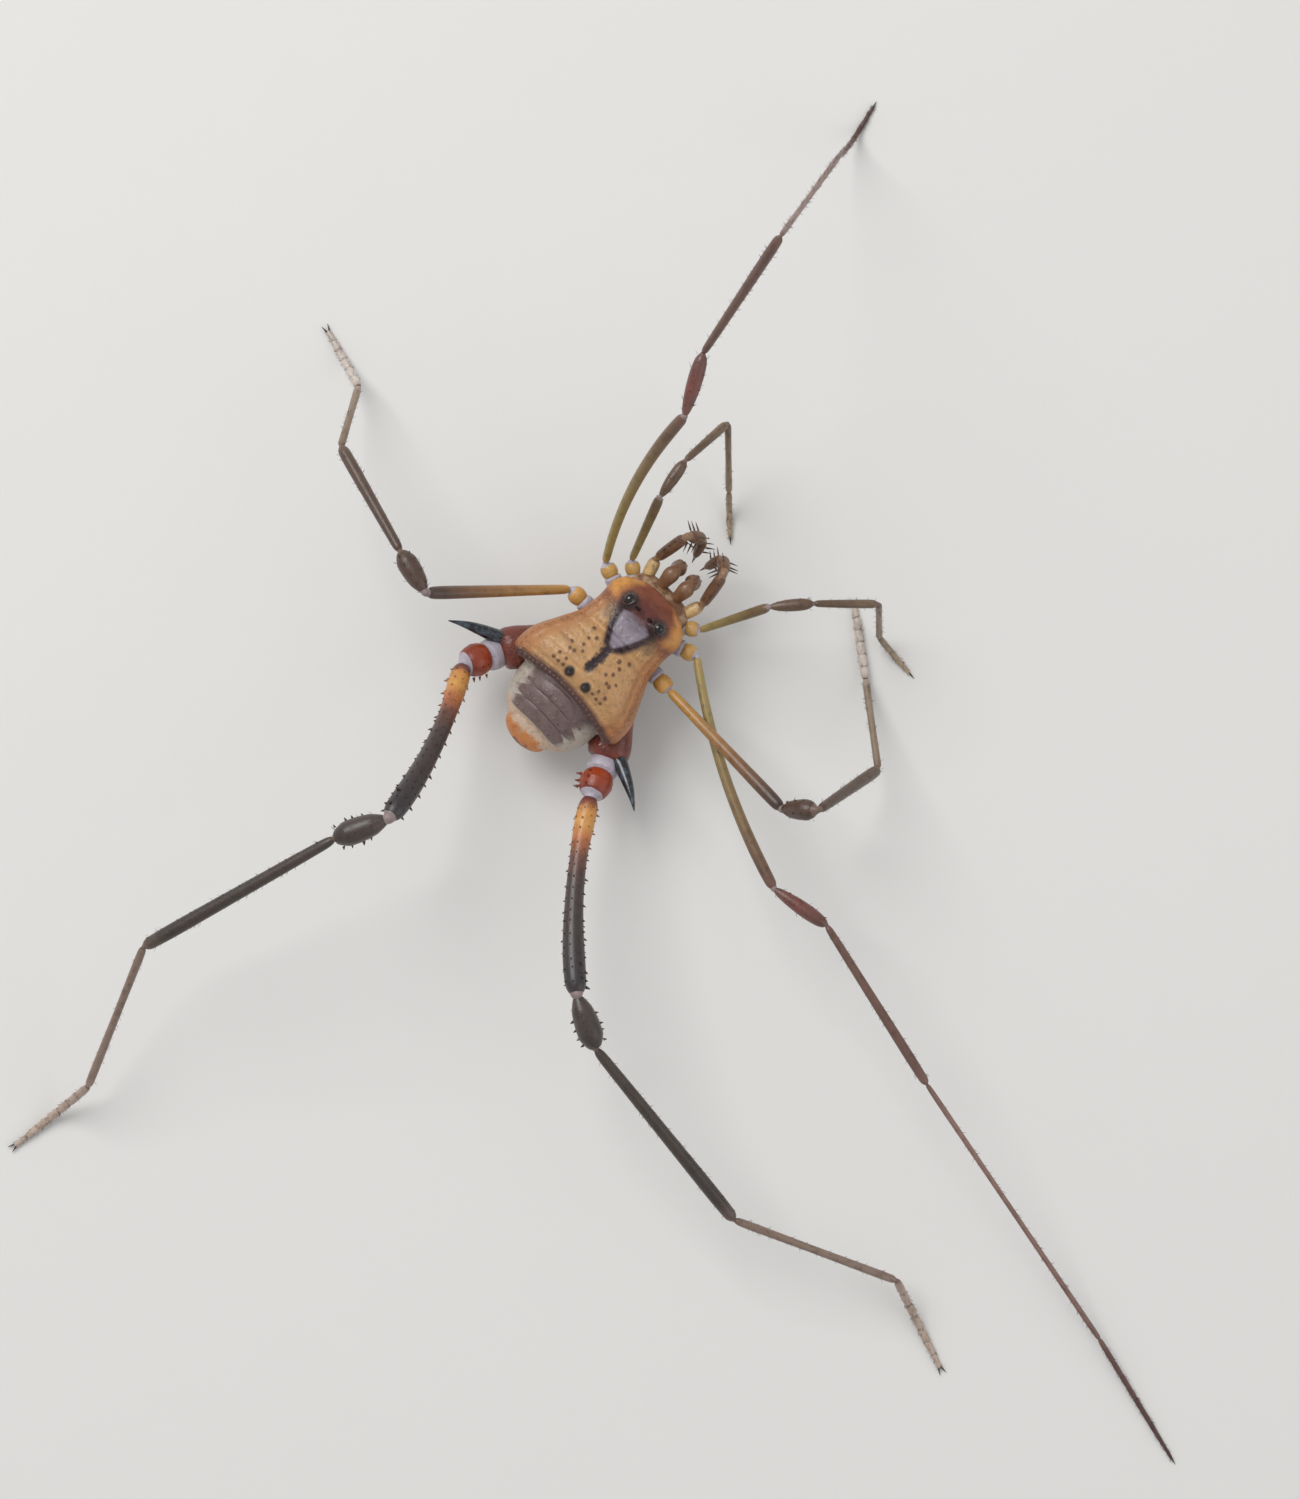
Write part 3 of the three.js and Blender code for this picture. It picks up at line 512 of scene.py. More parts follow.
class Finish:
    """A material under construction, with its coordinates in millimetres in the animal's frame."""

    def __init__(self, name):
        self.material = bpy.data.materials.new(name)
        self.material.use_nodes = True
        self.tree = self.material.node_tree
        self.tree.nodes.clear()
        place = self.node("ShaderNodeTexCoord", output="Object")
        moved = self.node(
            "ShaderNodeVectorMath", {"operation": "SUBTRACT"}, {0: place, 1: tuple(ORIGIN)}
        )
        self.place = self.node(
            "ShaderNodeVectorMath", {"operation": "SCALE"}, {0: moved, "Scale": 1 / MM}
        )
        axes = self.node("ShaderNodeSeparateXYZ", inputs={0: self.place})
        parts = axes.socket.node.outputs
        self.x, self.y, self.z = (Value(self, socket) for socket in parts)

    def node(self, kind, settings=None, inputs=None, output=0):
        """Adds a node: its settings first, then the values or links of its sockets."""
        made = self.tree.nodes.new(kind)
        for key, setting in (settings or {}).items():
            if key == "stops":
                set_stops(made.color_ramp.elements, setting)
            else:
                setattr(made, key, setting)
        for key, value in (inputs or {}).items():
            if isinstance(value, Value):
                self.tree.links.new(value.socket, made.inputs[key])
            else:
                made.inputs[key].default_value = value
        return None if output is None else Value(self, made.outputs[output])

    def noise(self, size, detail=3.0, roughness=0.6):
        """Cloudy noise from 0 to 1, with features of a size in millimetres."""
        inputs = {
            "Vector": self.place, "Scale": 1 / size, "Detail": detail, "Roughness": roughness,
        }
        return self.node("ShaderNodeTexNoise", inputs=inputs)

    def cells(self, size):
        """Distance to the middle of scattered cells of a size in millimetres."""
        return self.node("ShaderNodeTexVoronoi", inputs={"Vector": self.place, "Scale": 1 / size})

    def mark(self, name):
        return self.node("ShaderNodeAttribute", {"attribute_name": name}, output="Fac")

    def mix(self, mask, base, top, blend="MIX"):
        """Lays one colour over another by a mask."""
        inputs = {0: mask, 6: opaque(base), 7: opaque(top)}
        settings = {"data_type": "RGBA", "blend_type": blend}
        return self.node("ShaderNodeMix", settings, inputs, output=2)

    def layers(self, colour, *layers):
        """Lays colours over a first one in turn, each given as (mask, colour)."""
        for mask, top in layers:
            colour = self.mix(mask, colour, top)
        return colour

    def mottled(self, colour, strength, size=0.5):
        """Uneven lights and darks over a colour."""
        patches = self.noise(size, 4.0)
        dark = self.mix(patches.ramp(0.52, 0.3) * strength, colour, DARK_PATCHES, "MULTIPLY")
        return self.mix(patches.ramp(0.55, 0.75) * strength, dark, LIGHT_PATCHES, "MULTIPLY")

    def bands(self, value, stops):
        """Colours along a value from 0 to 1."""
        return self.node("ShaderNodeValToRGB", {"stops": stops}, {0: value})

    def spot(self, centre, half_sizes, edge, warp=None, even=False):
        """Mask of a soft-edged oval seen from above, or of one on each side."""
        across = ((abs(self.x) if even else self.x) - centre[0]) / half_sizes[0]
        along = (self.y - centre[1]) / half_sizes[1]
        distance = (across * across + along * along) ** 0.5
        if warp is not None:
            distance = distance + warp
        return distance.ramp(1 + edge, 1 - edge)

    def surface(self, colour, roughness, relief=None, relief_depth=0.01, **constants):
        """Finishes the material with a Principled shader; relief depth is in millimetres."""
        inputs = {"Base Color": colour, "Roughness": roughness}
        inputs.update({key.replace("_", " "): value for key, value in constants.items()})
        if relief is not None:
            inputs["Normal"] = self.node(
                "ShaderNodeBump", inputs={"Height": relief, "Distance": relief_depth * MM}
            )
        shader = self.node("ShaderNodeBsdfPrincipled", inputs=inputs)
        self.node("ShaderNodeOutputMaterial", inputs={"Surface": shader}, output=None)
        return self.material

    def shell(self, colour, roughness, grain, coat, depth=0.012, cloud=0.3, spread=0.25, **constants):
        """Finishes the material as a hard shell with a fine grain of a size and depth.

        The roughness grows by a spread in clouds of a size.
        """
        return self.surface(
            colour, self.noise(cloud) * spread + roughness, self.cells(grain).ramp(0.0, 0.6), depth,
            Coat_Weight=coat, **constants,
        )

    def skin(self, colour, relief, coat=0.0):
        """Finishes the material as soft, folded skin."""
        return self.surface(
            colour, self.noise(0.2) * 0.2 + 0.4, relief, 0.05,
            Subsurface_Weight=0.15, Subsurface_Scale=0.0004, Coat_Weight=coat,
        )


def opaque(colour):
    return colour if isinstance(colour, Value) else (*colour[:3], 1)


def set_stops(elements, stops):
    """Sets a colour ramp's stops, given as (place, colour)."""
    while len(elements) < len(stops):
        elements.new(0.5)
    for element, (place, colour) in zip(elements, stops):
        element.position = place
        element.color = opaque(colour)


# Limbs of the animal


# Where the front coxae start under the body, and how far towards its hip each one starts
COXA_ROOT = (0.6, 3.6, 2.7)
COXA_SPREAD = 0.55


def coxa_root(pair, side):
    """Where the hidden inner end of a front coxa lies."""
    aside, ahead, high = COXA_ROOT
    return Vector((side * aside, ahead + (HIPS[pair][1] - ahead) * COXA_SPREAD, high))


class Segment:
    """One segment of a limb, straight or bowed sideways."""

    def __init__(self, kind, start, way, length, width, bow=0.0):
        self.kind = kind
        self.start = start
        self.way = way.normalized()
        self.length = length
        self.width = width
        self.bow = bow
        self.end = start + self.way * length

    def centre(self, share):
        right = self.way.cross(UPWARDS).normalized()
        swing = 4 * self.bow * self.length * share * (1 - share)
        return self.start + self.way * (self.length * share) + right * swing

    def heading(self, share):
        """Direction of the segment's middle line at a share of its length."""
        return (self.centre(share + 0.01) - self.centre(share - 0.01)).normalized()

    def radius(self, share):
        return self.width / 2 * between(FORMS[self.kind], share)

    def surface(self, share, angle, depth=0.0):
        """Point on the surface at an angle round the segment, or a little below it."""
        out = outward(self.way, angle)
        return self.centre(share) + out * (self.radius(share) - depth), out


def ring(centre, way, radius, reach, joint=0.0):
    return {"centre": centre, "way": way, "radius": radius, "reach": reach, "joint": joint}


def ring_beyond(last, shift, radius, joint=0.0):
    """A ring a little further along the way of another one."""
    return ring(last["centre"] + last["way"] * shift, last["way"], radius, last["reach"], joint)


def chain(knots, side=1):
    """Rings along a bent limb, given as (x, y, z, radius), each square to the way through it."""
    points = [mirrored(knot, side) for knot in knots]
    rings = []
    for i, point in enumerate(points):
        before, after = points[max(0, i - 1)], points[min(len(points) - 1, i + 1)]
        rings.append(ring(point, (after - before).normalized(), knots[i][3], i))
    return rings


# A segment's hard part stops short of a joint by a gap and, where the limb bends, by a share of
# its radius as well. It is rounded off over shares of its thickness, down to a lip.
JOINT_GAP = 0.06
BEND_ROOM = 0.6
MOST_BEND = 1.3
ROUNDING = (0.18, 0.4)
LIP_LENGTH = 0.03
LIP_SHARE = 0.84
# By how much the rounded ends are narrower, on the first segment of a limb and on the others
ROOT_NARROWING = 0.08
NARROWING = 0.24
# Distance between a segment's rings
RING_STEP = 0.7
# Radius in the middle of a joint, as a share of the slighter segment's
NECK_SHARE = 0.8
# Mark of soft skin on a ring
SOFT = 1.0


def joint_room(radius, before, after):
    """How far short of a joint the hard part of a segment ends, so that it clears its neighbour."""
    bend = before.angle(after)
    return JOINT_GAP + BEND_ROOM * radius * min(MOST_BEND, math.tan(bend / 2))


def segment_rings(segment, index, before=None, after=None, bare=0.0):
    """Rings of a segment's hard part, with a lip at each end that leads in to the joint.

    The hard part starts past a bare length at the root.
    """
    room = [bare, 0.0]
    if before:
        room[0] = joint_room(segment.radius(0), before.way, segment.way)
    if after:
        room[1] = joint_room(segment.radius(1), segment.way, after)
    low = room[0] / segment.length
    high = 1 - room[1] / segment.length
    steps = max(4, round(segment.length / RING_STEP))
    even = [low + (high - low) * i / steps for i in range(1, steps)]
    curve = [0] + [share * segment.width / segment.length for share in ROUNDING]
    places = [low + at for at in curve]
    places += [at for at in even if low + curve[2] < at < high - curve[2]]
    places += [high - at for at in reversed(curve)]
    narrowing = NARROWING if index else ROOT_NARROWING
    rings = []
    for at in places:
        away = min(at - low, high - at) / curve[2]
        radius = segment.radius(at) * (1 - narrowing * (1 - min(1, away)) ** 2)
        rings.append(ring(segment.centre(at), segment.heading(at), radius, index + at))

    def lip(hard, shift):
        return ring_beyond(hard, shift, hard["radius"] * LIP_SHARE, SOFT)

    return [lip(rings[0], -LIP_LENGTH), *rings, lip(rings[-1], LIP_LENGTH)]


def neck_ring(place, before, after, radius, reach):
    """The soft ring in the middle of a joint."""
    return ring(place, (before + after).normalized(), radius, reach, SOFT)


# One joint of a tarsus: place along it, share of the thickness, and how much it looks like skin
TARSUS_JOINT = ((0.0, 0.7, 0.62), (0.08, 0.98, 0), (0.5, 1, 0), (0.9, 1.02, 0))
TARSUS_TAPER = ((0, 0.86), (0.08, 1.0), (0.7, 0.92), (1, 0.55))
# Share of a tarsus at which it is down on the floor, and share of its length that it spans
TARSUS_DOWN = 0.72
TARSUS_SPAN = 0.97


def tarsus_rings(start, heading, length, width, joints):
    """A tarsus of short ring-like joints that comes down and runs out flat along the floor."""
    drop = start.z
    reach = math.sqrt(length ** 2 - drop ** 2) * TARSUS_SPAN
    level = direction(heading, 0)

    def radius(share):
        return width / 2 * between(TARSUS_TAPER, share)

    def centre(share):
        flat = 1 - min(1.0, share / TARSUS_DOWN)
        lift = (radius(share) - drop) * (1 - flat ** 2)
        return start + level * (share * reach) + Vector((0, 0, lift))

    rings = []
    for joint in range(joints):
        for phase, thickness, mark in TARSUS_JOINT:
            share = (joint + phase) / joints
            low, high = max(0, share - 0.01), share + 0.01
            way = (centre(high) - centre(low)).normalized()
            rings.append(ring(centre(share), way, radius(share) * thickness, TARSUS + share, mark))
    end = ring(centre(1), level, radius(1) * 0.9, TARSUS + 1)
    return rings + [end, ring_beyond(end, 0.05, radius(1) * 0.45)]


def leg_segments(pair, word, side):
    """The straight segments of a leg, from trochanter to metatarsus."""
    hip = mirrored(HIPS[pair], side)
    lengths, widths = LEG_LENGTHS[pair], LEG_WIDTHS[pair]
    inner = mirrored(FOURTH_COXA_END, side) if pair == 4 else coxa_root(pair, side)
    way = (hip - inner).normalized()
    kind = "hind_trochanter" if pair == 4 else "trochanter"
    segments = [Segment(kind, hip - way * lengths[0], way, lengths[0], widths[0])]
    for i, (heading, rise) in enumerate(STANCE[pair, word][:4], start=1):
        bow = side * FEMUR_BOW[pair] if i == 1 else 0.0
        way = direction(side * heading, rise)
        start = segments[-1].end
        kind = "hind_femur" if pair == 4 and i == 1 else SEGMENTS[i]
        segments.append(Segment(kind, start, way, lengths[i], widths[i], bow))
    return segments


# How thick the neck of a joint takes the root of the next segment to be, as a share of its
# greatest thickness: the root of a femur, and that of a segment beyond it
FEMUR_ROOT = 0.56
OUTER_ROOT = 0.6


def leg_skin(pair, word, side):
    """One unbroken skin from the trochanter to the end of the tarsus."""
    segments = leg_segments(pair, word, side)
    tarsus_heading = side * STANCE[pair, word][4]
    ways = [segment.way for segment in segments] + [direction(tarsus_heading, 0)]
    first = segments[0]
    bare = SOFT_ROOTS[pair]
    swell = (first.width / 2) * (0.94 if pair == 4 else 0.98)
    root = ((-0.3, 0.8), (-0.1, 0.96), (bare * 0.25, 1.0), (bare * 0.6, 1.0), (bare * 0.85, 0.94))
    rings = [
        ring(first.start + first.way * at, first.way, swell * share, 0.0, SOFT)
        for at, share in root
    ]
    for i, segment in enumerate(segments):
        before = segments[i - 1] if i else None
        rings += segment_rings(segment, i, before, ways[i + 1], 0.0 if i else bare)
        following = LEG_WIDTHS[pair][i + 1] / 2 * (OUTER_ROOT if i else FEMUR_ROOT)
        neck = NECK_SHARE * min(segment.radius(1), following)
        rings.append(neck_ring(segment.end, segment.way, ways[i + 1], neck, i + 1))
    length, width = LEG_LENGTHS[pair][TARSUS], LEG_WIDTHS[pair][TARSUS]
    tarsus = tarsus_rings(segments[-1].end, tarsus_heading, length, width, TARSUS_JOINTS[pair])
    rings += tarsus[1:]
    skin = limb(f"leg_{pair}_{word}", rings, 12, ("reach", "joint"))
    smooth(skin, 2)
    return skin, segments, rings


def row_places(segment, row, side, dice):
    """Places for a row of thorns along a segment: count, angle, height, radius, from and to."""
    count, angle, height, radius, low, high = row
    places = []
    for i in range(count):
        share = low + (high - low) * (i + dice.uniform(-0.2, 0.2)) / max(1, count - 1)
        share = min(0.96, max(0.03, share))
        turned = side * angle + dice.uniform(-4, 4)
        root, out = segment.surface(share, turned, radius * 0.5)
        size = dice.uniform(0.8, 1.2)
        places.append((root, out, segment.way, radius * size, (height + radius * 0.5) * size))
    return places


# Rows on the strong hind legs: how many, angle from the top outwards, height, radius, from, to
HIND_ROWS = {
    0: ((3, 95, 0.2, 0.09, 0.5, 0.84), (3, 40, 0.08, 0.07, 0.5, 0.85)),
    1: (
        (13, 122, 0.17, 0.075, 0.1, 0.94),
        (12, -122, 0.21, 0.08, 0.1, 0.94),
        (2, -40, 0.2, 0.09, 0.86, 0.93),
        (16, 60, 0.06, 0.055, 0.06, 0.94),
        (16, 15, 0.05, 0.05, 0.06, 0.94),
        (16, -30, 0.05, 0.05, 0.06, 0.9),
        (15, -75, 0.07, 0.055, 0.06, 0.94),
        (15, 165, 0.06, 0.05, 0.06, 0.94),
    ),
    2: (
        (4, 100, 0.13, 0.07, 0.4, 0.9),
        (4, -100, 0.12, 0.06, 0.4, 0.9),
        (5, 10, 0.05, 0.05, 0.3, 0.9),
    ),
    3: (
        (14, 148, 0.14, 0.05, 0.08, 0.95),
        (14, -148, 0.15, 0.05, 0.08, 0.95),
        (12, 20, 0.05, 0.035, 0.08, 0.95),
        (12, -60, 0.05, 0.035, 0.08, 0.95),
    ),
    4: ((9, 170, 0.09, 0.03, 0.1, 0.95),),
}
# The same on the slighter legs, with heights and radii as shares of a segment's thickness
SLIM_ROWS = {
    1: (
        (11, 140, 0.11, 0.07, 0.1, 0.94),
        (11, -140, 0.11, 0.07, 0.1, 0.94),
        (9, 30, 0.05, 0.05, 0.1, 0.9),
    ),
    2: ((4, 20, 0.06, 0.05, 0.2, 0.9), (4, -60, 0.06, 0.05, 0.2, 0.9)),
    3: ((10, 150, 0.09, 0.06, 0.1, 0.94), (10, -150, 0.09, 0.06, 0.1, 0.94)),
}


def leg_thorns(pair, word, side, segments, stock):
    """Rows of thorns along a leg, each marked with its place along the leg."""
    dice = random.Random(100 * pair + side)
    places = []
    reaches = []
    for i, rows in (HIND_ROWS if pair == 4 else SLIM_ROWS).items():
        segment = segments[i]
        scale = 1.0 if pair == 4 else segment.width
        for count, angle, height, radius, low, high in rows:
            row = (count, angle, height * scale, radius * scale, low, high)
            places += row_places(segment, row, side, dice)
            reaches += [i + low + (high - low) * k / max(1, count - 1) for k in range(count)]
    return plant(f"leg_{pair}_{word}_thorns", stock, places, reaches)


# Bristles that grow below this height don't point down
NEAR_FLOOR = 0.3
# How much more bristly the tarsus is than the other segments
TARSUS_BRISTLES = 2.2
# Bare margin of the baked picture of a leg's bristles
PICTURE_MARGIN = 0.01


def leg_hairs(pair, word, segments, rings, look, stock):
    """Fine bristles that lean along the outer segments and the tarsus."""
    dice = random.Random(7 + 10 * pair + len(word))
    places = []
    patches = []

    def add(root, way, lean, length, angle, reach):
        if root.z < NEAR_FLOOR:
            way.z = max(0, way.z)
        places.append((root, way, lean, look.hair_radius, length))
        span = 1 - 2 * PICTURE_MARGIN
        patches.append((0.5 + span * angle / 360, PICTURE_MARGIN + span * reach / len(SEGMENTS)))

    for i, segment in enumerate(segments[2:], start=2):
        for _ in range(int(segment.length * look.hairs_per_mm)):
            share = dice.uniform(0.06, 0.97)
            angle = dice.uniform(-180, 180)
            root, out = segment.surface(share, angle, 0.01)
            way = out + segment.way * dice.uniform(0.5, 1.2)
            length = look.hair_length * dice.uniform(0.7, 1.3)
            add(root, way, segment.way, length, angle, i + share)
    tarsus = [place for place in rings if place["reach"] > TARSUS + 0.02]
    for _ in range(int(LEG_LENGTHS[pair][TARSUS] * look.hairs_per_mm * TARSUS_BRISTLES)):
        low = dice.randrange(len(tarsus) - 1)
        along = dice.random()
        first, last = tarsus[low], tarsus[low + 1]
        centre = first["centre"].lerp(last["centre"], along)
        radius = first["radius"] + (last["radius"] - first["radius"]) * along
        angle = dice.uniform(-125, 125)
        out = outward(first["way"], angle)
        way = out + first["way"] * dice.uniform(0.7, 1.3)
        length = look.hair_length * dice.uniform(0.6, 1.0)
        reach = first["reach"] + (last["reach"] - first["reach"]) * along
        add(centre + out * (radius - 0.01), way, first["way"], length, angle, reach)
    return plant(f"leg_{pair}_{word}_bristles", stock, places, patches=patches)


# Claws: length, radius at the root, spread of their roots and spread of their ways
CLAW_LENGTH = 0.42
CLAW_RADIUS = 0.055
CLAW_GAP = 0.05
CLAW_SPREAD = 0.28


def leg_claws(pair, word, side, rings, stock):
    """One claw on each leg of the first two pairs, and two on each of the others."""
    tip = rings[-1]["centre"]
    way = direction(side * STANCE[pair, word][4], 0)
    right = way.cross(UPWARDS)
    places = []
    for spread in (-1, 1) if pair > 2 else (0,):
        root = tip + right * (CLAW_GAP * spread) - way * 0.1
        out = way + right * (CLAW_SPREAD * spread) + Vector((0, 0, 0.12))
        places.append((root, out, -UPWARDS, CLAW_RADIUS, CLAW_LENGTH))
    return plant(f"leg_{pair}_{word}_claws", stock, places)


# Body of the animal

# The back shield: its length, and its half width, its top and its rim at distances from its rear
SCUTUM_LENGTH = 6.2
SCUTUM_WIDTHS = (
    (0, 2.8), (0.12, 3.02), (0.35, 3.26), (0.7, 3.36), (1.2, 3.28), (2.5, 2.55), (3.1, 2.2),
    (4.4, 2.1), (5.0, 2.2), (5.6, 1.95), (6.0, 1.3), (6.2, 0.7),
)
SCUTUM_TOPS = ((0, 5.35), (1.2, 5.9), (2.6, 5.6), (3.2, 5.35), (4.4, 5.3), (5.4, 4.9), (6.2, 4.3))
SCUTUM_RIMS = ((0, 3.9), (3.2, 3.8), (6.2, 3.9))
# How far the rear edges run back at the sides, the half width there, and where ahead that ends
REAR_BOW = 0.65
REAR_HALF_WIDTH = 3.4
BOW_END = 2.4
# Middle line of the free plates, and how much they arch down to the sides
REAR_TOPS = ((-2.4, 3.75), (-1.5, 4.6), (-0.8, 5.0), (-0.16, 5.15))
REAR_ARCH = 0.26
# Where the back has a section: closer together at its ends
SCUTUM_SECTIONS = (
    0, 0.03, 0.12, 0.22, 0.36, 0.6, *(0.95 + 0.37 * i for i in range(13)), 5.6, 5.8, 6.0, 6.14,
    SCUTUM_LENGTH,
)
# Eye mound, the swelling round each eye and the saddle between them: middle, half sizes, height
# and steepness
MOUND = ((0, 4.97), (1.3, 0.62), 0.56, 1.6)
EYE_SWELLING = (EYE, (0.42, 0.4), 0.15, 2)
SADDLE = ((0, 5.0), (0.35, 0.5), -0.12, 1)
# Furrows, by their middle, half width and depth: the one across the back behind the eyes, the
# shallow ones across it between its areas, the one along its middle with its two ends, and the
# one inside its edges, by a share of the half width, with its front end
NECK_FURROW = (3.25, 0.3, 0.13)
AREA_FURROWS = (2.45, 1.75, 1.12, 0.5)
AREA_FURROW_SIZE = (0.14, 0.05)
MIDDLE_FURROW = (0, 0.24, 0.1)
MIDDLE_FURROW_ENDS = (1.2, 2.95)
MARGIN_FURROW = (0.8, 0.07, 0.07)
MARGIN_FURROW_END = 4.3
# The pair of large grains on the back: place, radius and height
LARGE_GRAIN = (0.48, 0.77, 0.2, 0.34)
# Radius of the grains in rows, of the beads on the sides' edges and of those on the rear edge,
# and their height as a multiple of the one that is set
ROW_GRAIN = (0.125, 1.5)
EDGE_BEAD = (0.115, 1.8)
REAR_BEAD = (0.1, 1.6)
# Beads on each side's edge: how many, between which distances, at what share of the half width
EDGE_BEADS = 16
EDGE_BEAD_ENDS = (0.25, 4.25)
EDGE_BEAD_SHARE = 0.9
# Beads on each half of the rear edge: how many, place of the first, and how far apart
REAR_BEADS = 12
REAR_BEAD_START = (0.14, 0.13)
REAR_BEAD_STEP = 0.235
# Rows of larger dark grains on the back: distance from the rear edge, places aside
BACK_ROWS = (
    (0.8, (0.93, 1.22, 1.5)),
    (1.1, (1.04, 1.47)),
    (1.55, (1.03, 1.26)),
    (1.8, (0.74, 1.42)),
    (2.05, (0.96,)),
    (2.42, (0.97,)),
    (2.65, (0.75,)),
    (2.9, (1.13,)),
)


def rear_bow(x, y):
    """How far the rear edges of the plates run back at the sides."""
    fade = min(1, max(0, 1 - y / BOW_END))
    return -REAR_BOW * fade * (x / REAR_HALF_WIDTH) ** 2


def rear_height(x, y):
    """Upper surface of the free plates."""
    return between(REAR_TOPS, y) - REAR_ARCH * x * x


def dip(value, middle, half, depth):
    """A rounded furrow across a value."""
    away = abs(value - middle) / half
    return -depth * max(0.0, 1 - away * away) ** 2


def off_middle(x, y, middle, half_sizes):
    """Squared distance from the middle of an oval, in its half sizes."""
    return ((x - middle[0]) / half_sizes[0]) ** 2 + ((y - middle[1]) / half_sizes[1]) ** 2


def swelling(x, y, middle, half_sizes, height, steepness):
    """Height of a rounded swelling at a place."""
    return height * math.exp(-off_middle(x, y, middle, half_sizes) ** steepness)


def scutum_relief(place, normal):
    """Rear bow, eye mound and the furrows between the areas of the back."""
    x, y = place.x, place.y
    move = Vector((0, rear_bow(x, y), 0))
    if normal.z < 0.1 or y < 0.02:
        return move
    aside = abs(x) / between(SCUTUM_WIDTHS, y)
    rise = swelling(x, y, *MOUND) + swelling(abs(x), y, *EYE_SWELLING) + swelling(x, y, *SADDLE)
    fade = max(0.0, 1 - aside ** 4)
    furrows = dip(y + 0.2 * aside, *NECK_FURROW)
    for middle in AREA_FURROWS:
        furrows += dip(y - 0.12 * aside, middle, *AREA_FURROW_SIZE) * (1 if abs(x) > 0.3 else 0.5)
    low, high = MIDDLE_FURROW_ENDS
    middle_line = dip(x, *MIDDLE_FURROW) if low < y < high else 0
    margin = dip(aside, *MARGIN_FURROW) if y < MARGIN_FURROW_END else 0
    return move + Vector((0, 0, rise + (furrows + middle_line) * fade + margin))


def from_above(x, y):
    """Where a line starts that comes down on the body."""
    return Vector((x, y, 9))


def scutum_grains(look, obj):
    """Grains of the back: the large pair, dark rows, beads on the edges and a fine scatter."""
    dice = random.Random(5)
    grains = []

    def add(x, y, radius, height, tint):
        for side in (-1, 1):
            shift = [dice.uniform(-0.02, 0.02) for _ in "xy"]
            place = struck(obj, from_above(side * x, y + rear_bow(x, y)), -UPWARDS)
            if place:
                size = radius * dice.uniform(0.85, 1.15)
                grains.append((place + Vector((*shift, 0)), size, height, tint))

    add(*LARGE_GRAIN, 1)
    radius, share = ROW_GRAIN
    for y, places in BACK_ROWS:
        for x in places:
            add(x, y, radius, look.grain_height * share, 1)
    radius, share = EDGE_BEAD
    low, high = EDGE_BEAD_ENDS
    for i in range(EDGE_BEADS):
        y = low + (high - low) * i / (EDGE_BEADS - 1)
        x = between(SCUTUM_WIDTHS, y) * EDGE_BEAD_SHARE
        add(x, y, radius, look.grain_height * share, 0.45)
    radius, share = REAR_BEAD
    x, y = REAR_BEAD_START
    for i in range(REAR_BEADS):
        add(x + REAR_BEAD_STEP * i, y, radius, look.grain_height * share, 0.6)
    for _ in range(look.fine_grains):
        y = dice.uniform(0.2, 5.7)
        x = dice.uniform(0.05, 0.86) * between(SCUTUM_WIDTHS, y)
        size = dice.uniform(0.045, 0.075)
        add(x, y, size, look.grain_height * 0.8, dice.choice((0, 0.1, 0.2, 0.35)))
    return grains


def back_shield(look):
    """The shield of the back, with its ends drawn in a little."""
    stations = []
    for y in SCUTUM_SECTIONS:
        rim = between(SCUTUM_RIMS, y)
        stations.append((Vector((0, y, rim)), between(SCUTUM_WIDTHS, y), between(SCUTUM_TOPS, y) - rim))
    for end, narrower, lower in ((0, 0.985, 0.96), (-1, 0.9, 0.9)):
        centre, half, rise = stations[end]
        stations[end] = (centre, half * narrower, rise * lower)
    obj = plate("back_shield", stations, "Y", 40, (0.85, 0.8), 0.16)
    smooth(obj, 3)
    shape_points(obj, scutum_relief)
    obj.data.update()
    raise_grains(obj, scutum_grains(look, obj))
    aside = [abs(v.co.x) / between(SCUTUM_WIDTHS, max(0, v.co.y)) for v in obj.data.vertices]
    add_mark(obj, "aside", aside)
    return obj


# The soft skin of the rear: distance ahead, half width and top, above a base
REAR_PROFILE = (
    (0.3, 2.4, 5.1), (0, 2.4, 5.06), (-0.4, 2.38, 4.98), (-0.9, 2.3, 4.8), (-1.3, 2.18, 4.54),
    (-1.7, 1.98, 4.22), (-2.05, 1.72, 3.9), (-2.4, 1.4, 3.5), (-2.65, 1.05, 3.2),
    (-2.8, 0.6, 3.0),
)
REAR_BASE = 2.75
# Free plates: middle of the first, distance between them, their half widths, half length and half
# thickness, how far their middle lies below the upper surface, by what share they narrow towards
# the sides, what share of their size the very ends have, and steps between their sections
FIRST_PLATE = -0.42
PLATE_STEP = 0.66
PLATE_HALF_WIDTHS = (2.3, 2.1, 1.75)
PLATE_HALF_LENGTH = 0.37
PLATE_HALF_THICKNESS = 0.2
PLATE_SINK = 0.17
PLATE_NARROWING = 0.45
PLATE_TIP = 0.3
PLATE_SECTIONS = 14
# Grains on each millimetre of a plate's half width, and their radius and height
PLATE_GRAINS = 5.5
PLATE_GRAIN_RADIUS = 0.085
PLATE_GRAIN_HEIGHT = 0.05


def rear_skin():
    """The soft skin under the free plates, which runs on down to the last plate."""
    stations = [
        (Vector((0, y, REAR_BASE)), half, top - REAR_BASE) for y, half, top in REAR_PROFILE
    ]
    obj = plate("rear_skin", stations, "Y", 32, (0.9, 0.9), 0.6)
    smooth(obj, 2)
    shape_points(obj, lambda place, normal: Vector((0, rear_bow(place.x, min(0, place.y)), 0)))
    return obj


